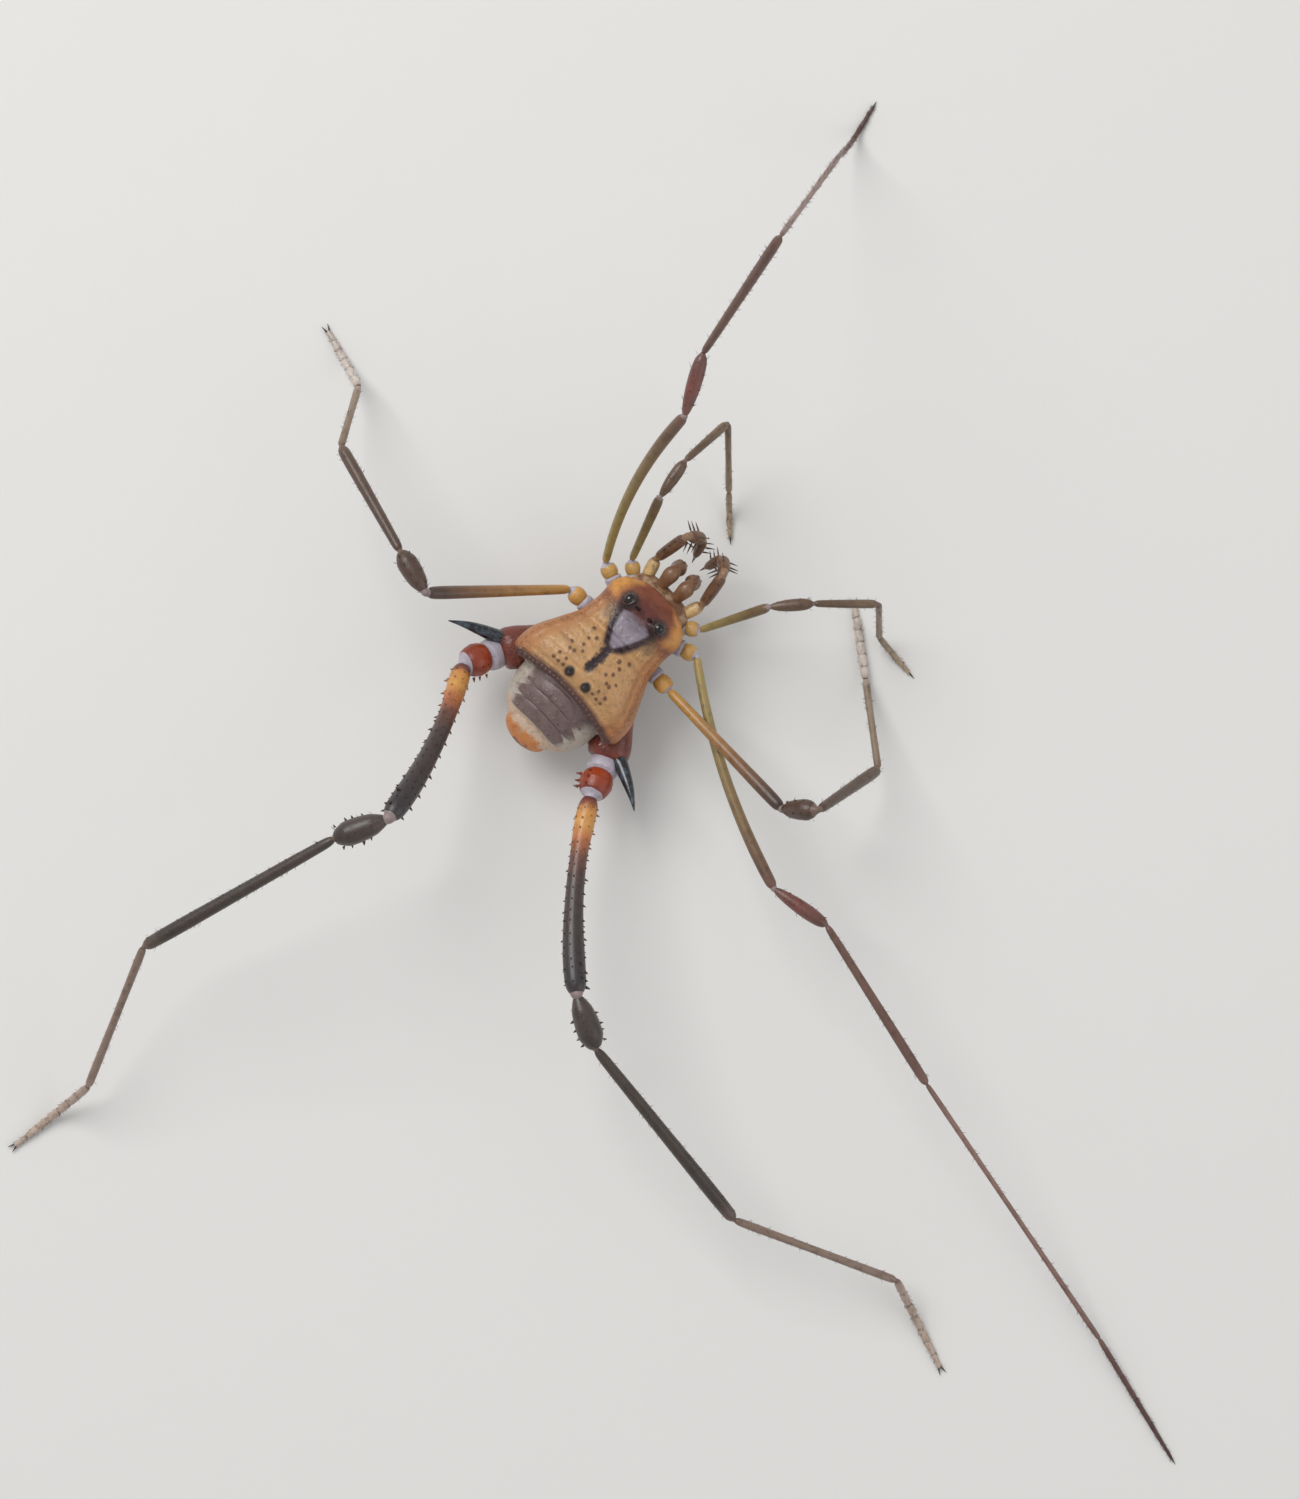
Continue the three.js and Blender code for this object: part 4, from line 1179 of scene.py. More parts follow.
def free_plate(index, half):
    """An arched plate, tucked under the plate before it, with grains along its rear edge."""
    middle = FIRST_PLATE - PLATE_STEP * index
    stations = []
    for i in range(PLATE_SECTIONS + 1):
        x = half * (2 * i / PLATE_SECTIONS - 1) * 0.985
        end = 1 - PLATE_NARROWING * abs(x / half) ** 5
        tip = PLATE_TIP if i in (0, PLATE_SECTIONS) else 1
        y = middle + rear_bow(x, 0) + 0.1 * (1 - end)
        centre = Vector((x, y, rear_height(x, middle) - PLATE_SINK))
        stations.append((centre, PLATE_HALF_LENGTH * end * tip, PLATE_HALF_THICKNESS * tip))
    obj = plate(f"free_plate_{index + 1}", stations, "X", 16, (0.75, 0.6))
    smooth(obj, 3)

    def tilt(place, normal):
        """Lowers the front edge, lifts the rear edge and arches the plate between them."""
        ahead = place.y - middle - rear_bow(place.x, 0)
        drop = rear_height(place.x, middle + ahead) - rear_height(place.x, middle)
        return Vector((0, 0, 0.75 * drop - 0.1 * ahead))

    shape_points(obj, tilt)
    obj.data.update()
    dice = random.Random(20 + index)
    grains = []
    count = round(half * PLATE_GRAINS)
    for i in range(count):
        x = half * 0.92 * (2 * (i + 0.5) / count - 1) + dice.uniform(-0.03, 0.03)
        place = struck(obj, from_above(x, middle - 0.2 + rear_bow(x, 0)), -UPWARDS)
        if place:
            height = PLATE_GRAIN_HEIGHT * dice.uniform(0.8, 1.3)
            grains.append((place, PLATE_GRAIN_RADIUS, height, 0.6))
    raise_grains(obj, grains)
    return obj


# Finishes that several pieces share, and that of the back

# Colours along the legs: place counted in segments from the hip, then the colour as seen
LEG_COLOURS = {
    1: (
        (0.0, (206, 168, 98)), (0.9, (198, 154, 88)), (1.1, (150, 134, 84)), (1.8, (114, 92, 60)),
        (2.2, (98, 74, 56)), (3.2, (96, 74, 56)), (4.2, (124, 104, 82)), (5.3, (156, 138, 116)),
        (6.0, (170, 150, 124)),
    ),
    2: (
        (0.0, (206, 166, 96)), (0.9, (200, 154, 84)), (1.08, (156, 138, 82)), (1.5, (138, 116, 74)),
        (1.92, (106, 78, 60)), (2.05, (114, 78, 68)), (2.45, (116, 66, 57)), (2.9, (102, 66, 58)),
        (3.1, (108, 80, 68)), (3.9, (104, 74, 64)), (4.2, (140, 108, 98)), (4.9, (126, 94, 84)),
        (5.1, (96, 64, 56)), (6.0, (74, 48, 42)),
    ),
    3: (
        (0.0, (210, 162, 84)), (0.9, (204, 152, 78)), (1.1, (180, 134, 68)), (1.45, (152, 108, 62)),
        (1.8, (98, 70, 52)), (1.96, (72, 54, 46)), (2.1, (84, 62, 52)), (3.0, (80, 60, 48)),
        (3.9, (88, 68, 54)), (4.1, (132, 112, 92)), (4.9, (146, 128, 108)), (5.1, (206, 194, 184)),
        (6.0, (188, 174, 162)),
    ),
    4: (
        (0.0, (134, 48, 20)), (0.5, (160, 62, 22)), (0.93, (130, 48, 26)), (1.01, (92, 42, 40)),
        (1.05, (128, 64, 50)), (1.08, (204, 142, 74)), (1.15, (206, 150, 78)), (1.22, (180, 108, 62)),
        (1.31, (112, 72, 58)), (1.44, (70, 56, 52)), (1.95, (50, 44, 46)), (2.1, (74, 60, 54)),
        (2.9, (60, 50, 46)), (3.1, (68, 56, 48)), (3.9, (58, 48, 42)), (4.06, (128, 106, 92)),
        (4.9, (134, 114, 100)), (5.1, (172, 150, 136)), (6.0, (184, 164, 148)),
    ),
}


def leg_finish(pair, look):
    """The shell and joint skin of a leg, coloured by the marks on its rings and thorns."""
    finish = Finish(f"leg_{pair}_shell")
    along = finish.mark("reach") / len(SEGMENTS)
    reach = along + (finish.noise(0.7) - 0.5) * 0.012
    stops = [(place / len(SEGMENTS), srgb(*colour)) for place, colour in LEG_COLOURS[pair]]
    colour = finish.mottled(finish.bands(reach, stops), look.mottling)
    joint = (finish.mark("joint") + (finish.noise(0.3) - 0.5) * 0.5).ramp(0.35, 0.75)
    skins = (
        (1.5, look.joint_colour), (1.6, look.knee_colour), (2.4, look.knee_colour),
        (2.6, look.outer_joint_colour),
    )
    soft = finish.bands(along, [(place / len(SEGMENTS), shade) for place, shade in skins])
    colour = finish.layers(
        colour,
        (joint, finish.mottled(soft, 0.4, 0.3)),
        (finish.mark("thorn") * 0.75, look.thorn_colour),
    )
    grain = finish.cells(0.09).ramp(0.0, 0.6) * 0.6 + finish.noise(0.06) * 0.4
    return finish.surface(
        colour,
        (finish.noise(0.25) * 0.25 + look.roughness - 0.1).at_most(0.8),
        relief=grain + finish.noise(0.16, 4.0) * joint * 5,
        relief_depth=0.012,
        Coat_Weight=0.25,
        Coat_Roughness=0.25,
        Subsurface_Weight=0.08,
        Subsurface_Scale=0.0003,
    )


def plain_shell(name, colour, roughness, strength=0.5, coat=0.2, tips=None):
    """A hard shell of one mottled colour, with its raised grains tinted."""
    finish = Finish(name)
    shade = finish.mottled(colour, strength)
    if tips:
        shade = finish.mix(finish.mark("grain").ramp(0.3, 0.9), shade, tips)
    return finish.shell(shade, roughness - 0.12, 0.08, coat, cloud=0.25, Coat_Roughness=0.2)


# Marks on the back: middle, half sizes and softness of the edge
CORNER_MARK = ((0, 5.2), (2.3, 0.9), 0.2)
HOLLOW_MARK = ((1.25, 4.15), (0.3, 0.45), 0.6)
MOUND_MARK = ((0, 5.0), (0.8, 0.5), 0.5)
SOCKET_MARK = ((0.92, 4.93), (0.45, 0.45), 0.35)
LARGE_GRAIN_MARK = ((0.52, 0.75), (0.24, 0.26), 0.3)


def scutum_finish(look):
    """The pattern of the back, in the animal's own millimetres."""
    finish = Finish("scutum_shell")
    warp = (finish.noise(0.5) - 0.5) * 0.5
    x, y = abs(finish.x), finish.y
    aside = finish.mark("aside")
    front = (y + warp * 0.8).ramp(3.9, 4.6)
    corner = finish.spot(*CORNER_MARK, warp) * aside.ramp(0.55, 0.85) * y.ramp(4.2, 4.7)
    rear = (y + 0.056 * x * x + warp * 0.3).ramp(0.55, 0.2)

    # Triangle behind the eyes, its grey-lavender a painted reflection of the sky on a glossy dark
    # patch, with a dark rim that runs on as the middle furrow
    width = 0.92 - 0.5 * (4.55 - y).at_least(0) ** 1.6 * 0.62
    inside = ((x - width) * 0.8).at_least(y + 0.35 * x * x - 4.78) + warp * 0.22
    behind = y.ramp(2.62, 2.85)
    blotches = (finish.noise(0.22, 2.0) - 0.5) * 0.5
    furrow = (x + blotches + warp * 0.3).ramp(0.34, 0.12) * y.ramp(1.15, 1.4) * y.ramp(3.0, 2.75)

    hollow = finish.spot(*HOLLOW_MARK, warp, even=True)
    between_eyes = finish.spot(*MOUND_MARK, warp)
    socket = finish.spot(*SOCKET_MARK, warp, even=True)
    colour = finish.layers(
        look.tan,
        (aside.ramp(0.55, 0.95), look.edge),
        (front, look.front),
        (corner, look.corner),
        (rear, look.rear),
        (inside.ramp(0.38, 0.1) * behind, look.dark),
        # Painted sky reflection: the grey-lavender of the triangle stands in for the sky mirrored on
        # its glossy dark surface
        (inside.ramp(0.0, -0.16) * behind, look.painted_sky_reflection),
        (furrow, look.dark),
        (hollow * 0.55, look.hollow),
        (between_eyes * 0.85, look.maroon),
        (socket * 0.95, look.dark),
    )
    large_grains = finish.spot(*LARGE_GRAIN_MARK, warp * 0.5, even=True)
    colour = finish.layers(
        finish.mottled(colour, 0.45),
        (finish.mark("grain").ramp(0.0, 0.75) * 0.85, look.grain_colour),
        (large_grains, look.tubercle),
    )
    return finish.shell(colour, furrow * 0.25 + 0.32, 0.075, 0.2, Coat_Roughness=0.25)


# Settings that a user would change


def colour_setting(name, what, colour):
    return FloatVectorProperty(
        name=name, description=f"Colour of {what}", default=srgb(*colour), subtype="COLOR",
        min=0, max=1,
    )


def number_setting(name, description, default, low=0, high=1, unit="NONE"):
    return FloatProperty(
        name=name, description=description, default=default, min=low, max=high, unit=unit
    )


class BodySettings(bpy.types.PropertyGroup):
    """Sizes and colours of the body."""

    grain_height: number_setting(
        "Grain Height", "Height that the sizes of the grains follow, in millimetres", 0.05, high=0.3
    )
    fine_grains: IntProperty(
        name="Fine Grains", description="How many pairs of fine grains are scattered on the back",
        default=380, min=0, max=2000,
    )
    tan: colour_setting("Back", "the middle of the back", (186, 142, 94))
    edge: colour_setting("Edges", "the sides of the back", (172, 112, 64))
    front: colour_setting("Front", "the front of the back", (128, 68, 44))
    corner: colour_setting("Corners", "the front corners", (212, 146, 68))
    rear: colour_setting("Rear Edge", "the rear edge of the back", (78, 48, 42))
    # Painted reflection: the grey-lavender of the triangle is the sky mirrored on a glossy dark patch,
    # not its own colour
    painted_sky_reflection: colour_setting("Triangle", "the triangle behind the eyes", (142, 132, 142))
    maroon: colour_setting("Between the Eyes", "the mound between the eyes", (88, 34, 30))
    dark: colour_setting("Dark Marks", "the rim of the triangle and the furrow", (44, 22, 26))
    hollow: colour_setting("Hollows", "the hollows beside the triangle", (84, 66, 40))
    grain_colour: colour_setting("Grains", "the grains on the back", (84, 48, 28))
    tubercle: colour_setting("Large Grains", "the pair of large grains", (26, 20, 22))
    plates: colour_setting("Free Plates", "the free plates", (112, 92, 88))
    belly: colour_setting("Belly", "the underside", (120, 84, 58))
    patch: colour_setting("Side Patches", "the soft sides of the rear", (188, 178, 164))
    operculum: colour_setting("Last Plate", "the last plate", (196, 122, 62))
    band: colour_setting("Pale Band", "the band on the last plate", (198, 172, 148))
    mouthparts: colour_setting("Jaws", "the jaws", (128, 90, 62))
    palps: colour_setting("Feelers", "the grasping feelers", (112, 78, 52))
    coxa: colour_setting("Coxae", "the swollen fourth coxae", (118, 48, 28))
    face: colour_setting("Face", "the soft skin round the mouth", (176, 146, 116))
    spine: colour_setting("Spines", "the large black spines", (22, 24, 30))


class LegSettings(bpy.types.PropertyGroup):
    """Finish and bristles of the legs."""

    roughness: number_setting("Roughness", "Roughness of the shell of the legs", 0.38)
    mottling: number_setting("Mottling", "Strength of the uneven colour", 0.55)
    hairs_per_mm: number_setting(
        "Bristles", "Bristles on each millimetre of the outer segments", 9, high=40
    )
    hair_length: number_setting(
        "Bristle Length", "Mean length of a bristle, in millimetres", 0.17, 0.02
    )
    hair_radius: number_setting(
        "Bristle Radius", "Radius at a bristle's root, in millimetres", 0.012, 0.005, 0.05
    )
    thorn_colour: colour_setting("Thorns", "the thorns of the legs", (74, 50, 38))
    bristle_colour: colour_setting("Bristles", "the bristles", (96, 74, 58))
    joint_colour: colour_setting("Hip Joints", "the soft skin near the body", (184, 176, 186))
    knee_colour: colour_setting("Knee Joints", "the soft skin before the patella", (142, 124, 122))
    outer_joint_colour: colour_setting("Outer Joints", "the outer soft skin", (116, 92, 80))


class StageSettings(bpy.types.PropertyGroup):
    """Floor, lights and camera."""

    floor_size: number_setting("Floor", "Width of the floor", 1.2, 0.1, 10, "LENGTH")
    floor_colour: colour_setting("Floor Colour", "the floor", (226, 224, 220))
    key_power: number_setting("Key Light", "Power of the large soft light", 0.95, 0, 50, "POWER")
    fill_power: number_setting("Fill Light", "Power of the light opposite", 0.22, 0, 50, "POWER")
    sky: number_setting("Sky", "Strength of the even light", 0.5, high=5)
    camera_height: number_setting(
        "Camera Height", "Height of the camera above the floor", 0.185, 0.02, 10, "LENGTH"
    )
    lens: number_setting("Lens", "Focal length of the camera", 95.1, 1, 500, "CAMERA")


# Building of the pieces

# Points on the eye mound: root, way, radius at the root and length
HORN_ROOT = (0.34, 4.95, 5.45)
HORN_WAY = (0.1, 0.1, 1)
HORN_RADIUS = 0.15
HORN_LENGTH = 0.62


def build_back(look):
    obj = back_shield(look)
    stock = thorn_stock("horn_stock", 0.1, 8)
    lean = Vector((0, -1, 0))
    horns = [
        (mirrored(HORN_ROOT, side), mirrored(HORN_WAY, side), lean, HORN_RADIUS, HORN_LENGTH)
        for side in (-1, 1)
    ]
    made = plant("eye_mound_horns", stock, horns)
    smooth(made, 1)
    discard(stock)
    settle(made, plain_shell("horn_shell", look.tubercle, 0.35))
    settle(obj, scutum_finish(look), ["scutum"])


# An eyeball in its rim: height along the way it looks, radius, and 1 where it is rim
EYE_WAY = (0.76, 0.1, 0.66)
EYE_DOME = (
    (-0.12, 0.33, 1), (0.0, 0.355, 1), (0.05, 0.345, 1), (0.065, 0.3, 1), (0.075, 0.29, 0),
    (0.14, 0.275, 0), (0.2, 0.235, 0), (0.26, 0.16, 0), (0.29, 0.08, 0), (0.295, 0.02, 0),
)


def build_eyes():
    finish = Finish("eye_glass")
    rim = finish.mark("joint").ramp(0.4, 0.8)
    shine = finish.mix(finish.noise(0.2), (0.004, 0.003, 0.004), (0.012, 0.007, 0.006))
    shine = finish.mix(rim, shine, finish.mottled(srgb(58, 34, 30), 0.8, 0.15))
    roughness = finish.noise(0.3) * 0.06 + rim * 0.3 + 0.08
    material = finish.surface(shine, roughness, finish.cells(0.06) * rim, Coat_Weight=0.25)
    for word, side in SIDES:
        way = mirrored(EYE_WAY, side).normalized()
        centre = mirrored(EYE, side)
        rings = [ring(centre + way * at, way, radius, 0, mark) for at, radius, mark in EYE_DOME]
        obj = limb(f"eye_ball_{word}", rings, 20, ("joint",))
        smooth(obj, 2)
        settle(obj, material, [f"eye_{word}"])


def pale_sides(finish, warp, low, high):
    """Mask of the pale sides of the rear, which lie further apart towards the front."""
    return (abs(finish.x) - finish.y * 0.38 + warp).ramp(low, high)


def build_free_plates(look):
    finish = Finish("free_plate_shell")
    warp = (finish.noise(0.5) - 0.5) * 0.5
    shade = finish.layers(
        look.plates,
        (pale_sides(finish, warp * 1.2, 2.05, 2.4), look.patch),
        (finish.mark("grain").ramp(0.2, 0.9) * 0.6, look.grain_colour),
    )
    shell = finish.shell(finish.mottled(shade, 0.6, 0.35), 0.36, 0.07, 0.2)
    for i, half in enumerate(PLATE_HALF_WIDTHS):
        settle(free_plate(i, half), shell, [f"free_tergite_{i + 1}"])


def build_rear_skin(look):
    finish = Finish("rear_membrane")
    warp = (finish.noise(0.4) - 0.5) * 0.5
    shade = finish.layers(
        look.plates,
        (pale_sides(finish, warp, 1.7, 2.2), look.patch),
        ((finish.y + warp).ramp(-1.75, -2.05), look.band),
    )
    wrinkles = (finish.noise(0.35, 2.0) + finish.y * 2.2).math("SINE")
    relief = wrinkles * 0.3 + finish.noise(0.12)
    skin = finish.skin(finish.mottled(shade, 0.5, 0.25), relief, 0.2)
    settle(rear_skin(), skin)


# The last plate: half sizes, tilt in degrees and middle
LAST_HALF_SIZES = (1.2, 0.84, 0.46)
LAST_TILT = 36
LAST_MIDDLE = (0, -2.56, 3.08)


def last_plate_furrow(place, normal):
    """A shallow furrow all round, near the edge."""
    return normal * dip(off_middle(place.x, place.y, (0, 0), LAST_HALF_SIZES), 0.84, 0.1, 0.03)


def build_last_plate(look):
    clear_selection()
    bpy.ops.mesh.primitive_uv_sphere_add(segments=32, ring_count=16, radius=1)
    obj = bpy.context.object
    obj.name = obj.data.name = "last_plate"
    obj.scale = LAST_HALF_SIZES
    apply_place()
    smooth(obj, 2)
    shape_points(obj, last_plate_furrow)
    obj.rotation_euler = (math.radians(LAST_TILT), 0, 0)
    obj.location = LAST_MIDDLE
    apply_place()
    finish = Finish("last_plate_shell")
    back = finish.y * -1 + finish.z * -0.35 + (finish.noise(0.35) - 0.5) * 1.1
    shade = finish.bands(back.ramp(0.5, 2.7), (
        (0.0, look.band), (0.3, look.band), (0.46, look.operculum), (0.78, look.operculum),
        (0.9, srgb(132, 64, 36)), (1.0, srgb(110, 54, 34)),
    ))
    shade = finish.mottled(shade, 0.5, 0.3)
    shell = finish.shell(shade, 0.34, 0.09, 0.25, depth=0.02, spread=0.2)
    settle(obj, shell, ["anal_operculum"])


# The soft skin of the flanks: distances ahead, share of the back's half width, height of its
# middle and half height
FLANK_PLACES = (-0.7, -0.3, 0.1, 0.4, 0.8, 1.4, 2.1, 2.8, 3.5, 4.2, 4.8, 5.3, 5.7)
FLANK_SHARES = ((-0.7, 0.66), (0, 0.84), (0.6, 0.9), (6, 0.9))
FLANK_MIDDLE = 3.3
FLANK_HALF_HEIGHT = 0.5


def build_belly(look):
    obj = softened_copy("venter", "belly", 0.08, 8)
    finish = Finish("belly_skin")
    rear = finish.y.ramp(-0.05, -0.35) * finish.z.ramp(2.6, 3.0)
    shade = finish.mix(finish.noise(0.8).ramp(0.4, 0.7), look.belly, srgb(96, 60, 42))
    ends = abs(finish.x).ramp(1.9, 2.3) * finish.y.ramp(2.5, 2.7)
    shade = finish.layers(
        finish.mottled(shade, 0.6), (rear, look.patch), (ends, srgb(206, 168, 110))
    )
    shell = finish.shell(shade, 0.36, 0.1, 0.15, depth=0.02)
    settle(obj, shell, ["venter"])

    stations = []
    for y in FLANK_PLACES:
        half = between(SCUTUM_WIDTHS, y) * between(FLANK_SHARES, y)
        stations.append((Vector((0, y, FLANK_MIDDLE)), half, FLANK_HALF_HEIGHT))
    flank = plate("flank_skin", stations, "Y", 32, (0.8, 0.9), 1.5)
    smooth(flank, 2)
    shape_points(flank, lambda place, normal: Vector((0, rear_bow(place.x, place.y), 0)))
    settle(flank, shell)


# The face: distance ahead, half width and half height, about a height
FACE_PROFILE = (
    (5.3, 1.8, 0.9), (5.8, 1.75, 0.85), (6.2, 1.6, 0.72), (6.5, 1.35, 0.5), (6.68, 0.9, 0.25),
)
FACE_HEIGHT = 3.15
# Middle line and radius of a jaw and of its free finger
JAW_HAND = (
    (0.44, 6.1, 3.3, 0.26), (0.45, 6.55, 3.45, 0.28), (0.47, 6.85, 3.62, 0.33),
    (0.48, 7.12, 3.8, 0.41), (0.49, 7.34, 3.86, 0.37), (0.5, 7.48, 3.8, 0.24),
    (0.5, 7.58, 3.66, 0.27), (0.48, 7.64, 3.44, 0.4), (0.45, 7.62, 3.12, 0.41),
    (0.4, 7.56, 2.74, 0.25), (0.34, 7.52, 2.5, 0.15), (0.28, 7.46, 2.22, 0.06),
    (0.27, 7.44, 2.16, 0.02),
)
JAW_FINGER = (
    (0.56, 7.56, 3.05, 0.12), (0.6, 7.58, 2.85, 0.14), (0.56, 7.6, 2.6, 0.11),
    (0.48, 7.6, 2.36, 0.07), (0.41, 7.58, 2.16, 0.03),
)
# Grains on the front of each jaw: how many, between which places aside and heights, and where
# ahead of the jaws the lines start that find their places
JAW_GRAINS = 16
JAW_GRAINS_ASIDE = (0.22, 0.72)
JAW_GRAINS_HIGH = (2.95, 3.95)
AHEAD_OF_JAWS = 8.4
# Joints of a feeler, and the form and thickness of the segments between them
FEELER_JOINTS = (
    (1.15, 6.15, 3.05), (1.5, 7.2, 3.35), (1.2, 8.9, 4.6), (0.62, 9.4, 3.45), (0.34, 8.55, 2.35),
)
FEELER_SEGMENTS = (("palp", 0.66), ("palp", 0.6), ("palp", 0.66), ("palp_tarsus", 0.54))
# Rows of spines and grains on the feelers, as on the legs, and the claw at the tip
FEELER_ROWS = {
    1: ((4, 160, 0.22, 0.06, 0.2, 0.8), (5, 20, 0.08, 0.05, 0.2, 0.9)),
    2: (
        (4, -115, 0.52, 0.06, 0.2, 0.88),
        (3, 120, 0.5, 0.06, 0.35, 0.85),
        (4, 0, 0.08, 0.05, 0.2, 0.9),
    ),
    3: ((3, -110, 0.44, 0.055, 0.2, 0.65), (3, 115, 0.44, 0.055, 0.2, 0.65)),
}
FEELER_CLAW_RADIUS = 0.1
FEELER_CLAW_LENGTH = 0.72


def build_mouthparts(look):
    jaw_shell = plain_shell("jaw_shell", look.mouthparts, 0.34, 0.7, 0.35, srgb(86, 58, 42))
    finish = Finish("feeler_shell")
    shade = finish.mix(finish.y.ramp(7.4, 7.0), look.palps, srgb(206, 172, 118))
    joint = finish.mark("joint").ramp(0.35, 0.75)
    shade = finish.mix(joint, finish.mottled(shade, 0.9, 0.3), srgb(146, 112, 84))
    shell = finish.shell(shade, 0.26, 0.08, 0.3, cloud=0.25)
    spine_shell = plain_shell("feeler_spine_shell", srgb(70, 44, 32), 0.3, 0.4, 0.4)
    stock = thorn_stock("feeler_thorn_stock", 0.35)
    for word, side in SIDES:
        settle(jaw(word, side), jaw_shell, [f"chelicera_{word}"])
        skin, segments = feeler(word, side)
        nodes = [f"pedipalp_{part}_{word}" for part in ("femur", "tibia", "tarsus")]
        settle(skin, shell, nodes)
        settle(feeler_spines(word, side, segments, stock), spine_shell)
    build_face(look)
    discard(stock)


def build_face(look):
    """The soft skin from which the jaws and feelers stand out."""
    stations = [(Vector((0, y, FACE_HEIGHT)), half, rise) for y, half, rise in FACE_PROFILE]
    obj = plate("face", stations, "Y", 24, (0.9, 0.9), 0.8)
    smooth(obj, 2)
    finish = Finish("face_skin")
    shade = finish.mix(finish.noise(0.5).ramp(0.4, 0.65), look.belly, look.face)
    settle(obj, finish.skin(shade, finish.noise(0.15)))


def jaw(word, side):
    """A jaw: its bulging first joint, the swollen hand and the two crossing fingers."""
    obj = limb(f"jaw_{word}", chain(JAW_HAND, side), 14)
    merge(obj, [limb("finger", chain(JAW_FINGER, side), 10)])
    smooth(obj, 2)
    dice = random.Random(80 + side)
    grains = []
    for _ in range(JAW_GRAINS):
        across, height = dice.uniform(*JAW_GRAINS_ASIDE), dice.uniform(*JAW_GRAINS_HIGH)
        place = struck(obj, mirrored((across, AHEAD_OF_JAWS, height), side), Vector((0, -1, 0)))
        if place:
            grains.append((place, dice.uniform(0.06, 0.09), 0.06, 0.7))
    raise_grains(obj, grains)
    return obj


def feeler(word, side):
    """A feeler's unbroken skin, and its segments."""
    points = [mirrored(point, side) for point in FEELER_JOINTS]
    segments = [
        Segment(kind, start, end - start, (end - start).length, width)
        for (kind, width), start, end in zip(FEELER_SEGMENTS, points, points[1:])
    ]
    rings = []
    for i, segment in enumerate(segments):
        before = segments[i - 1] if i else None
        after = segments[i + 1].way if i < 3 else None
        rings += segment_rings(segment, i, before, after)
        if after:
            neck = NECK_SHARE * min(segment.radius(1), segments[i + 1].radius(0))
            rings.append(neck_ring(segment.end, segment.way, after, neck, i + 1))
    rings.append(ring_beyond(rings[-1], 0.04, 0.05))
    skin = limb(f"feeler_{word}", rings, 12, ("joint",))
    smooth(skin, 2)
    return skin, segments


def feeler_spines(word, side, segments, stock):
    dice = random.Random(40 + side)
    places = []
    for i, rows in FEELER_ROWS.items():
        for row in rows:
            places += row_places(segments[i], row, side, dice)
    last = segments[3]
    tip = last.end - last.way * 0.2
    places.append((tip, last.way, -UPWARDS, FEELER_CLAW_RADIUS, FEELER_CLAW_LENGTH))
    spines = plant(f"feeler_{word}_spines", stock, places)
    smooth(spines, 1)
    return spines


# A fourth coxa: its inner end, how far its hard part stops short of its outer end, its rings,
# its greatest radius and how that changes along it, its flattening about a height, and its lip
COXA_START = (1.7, 2.7, 2.95)
COXA_GAP = 0.24
COXA_RINGS = 12
COXA_RADIUS = 1.03
COXA_FORM = (
    (0, 0.27), (0.2, 0.39), (0.35, 0.5), (0.55, 0.68), (0.8, 0.95), (0.92, 1.0), (1, 0.9),
)
COXA_FLATTENING = 0.82
COXA_HEIGHT = 2.58
COXA_LIP = 0.07
# Rows of grains on it, by their angle from the top outwards, and grains in each row
COXA_GRAIN_ANGLES = (20, 38, 56, 74, 92, 110)
COXA_GRAINS = 9
# Its large spine: root, heading outwards, rise, length, and radius along it
SPINE_ROOT = (3.7, -0.4, 2.85)
SPINE_HEADING = 111
SPINE_RISE = 22
SPINE_LENGTH = 2.8
SPINE_RADII = (
    (0, 0.42), (0.2, 0.36), (0.35, 0.315), (0.55, 0.26), (0.72, 0.18), (0.87, 0.09), (1, 0.022),
)


def fourth_coxa(word, side):
    """A swollen coxa, rounded off towards the hip, with rows of grains on its outer side."""
    start, end = mirrored(COXA_START, side), mirrored(FOURTH_COXA_END, side)
    way = (end - start).normalized()
    after = (mirrored(HIPS[4], side) - end).normalized()
    length = (end - start).length - COXA_GAP
    rings = []
    for i in range(COXA_RINGS):
        share = i / (COXA_RINGS - 1)
        bend = way.lerp(way + after, max(0, share - 0.8) * 5 * 0.5).normalized()
        centre = start + way * (length * share)
        rings.append(ring(centre, bend, COXA_RADIUS * between(COXA_FORM, share), share))
    rings.append(ring_beyond(rings[-1], COXA_LIP, rings[-1]["radius"] * 0.8))
    obj = limb(f"coxa_{word}", rings, 24)
    edit_all()
    bpy.ops.transform.resize(value=(1, 1, COXA_FLATTENING), center_override=(0, 0, COXA_HEIGHT))
    bpy.ops.object.mode_set(mode="OBJECT")
    smooth(obj, 2)
    dice = random.Random(60 + side)
    grains = []
    segment = Segment("femur", start, way, length, 2)
    for angle in COXA_GRAIN_ANGLES:
        for i in range(COXA_GRAINS):
            share = 0.3 + 0.65 * (i + dice.random() * 0.5) / COXA_GRAINS
            out = outward(way, side * angle)
            centre = segment.centre(share) + out * 0.2
            place = struck(obj, centre + out * 3, -out)
            if place:
                grains.append((place, dice.uniform(0.08, 0.12), 0.07, 0.8))
    raise_grains(obj, grains)
    return obj


def coxa_spine(word, side):
    """The large spine of a fourth coxa, hooked a little to the rear."""
    root = mirrored(SPINE_ROOT, side)
    out = direction(side * SPINE_HEADING, SPINE_RISE)
    hook = direction(side * 180, -10) * 0.11
    rings = []
    for share, radius in SPINE_RADII:
        centre = root + out * (SPINE_LENGTH * share) + hook * (SPINE_LENGTH * share ** 3)
        heading = (out + hook * (3 * share ** 2)).normalized()
        rings.append(ring(centre, heading, radius, share))
    spine = limb(f"coxa_spine_{word}", rings, 12)
    smooth(spine, 2)
    return spine


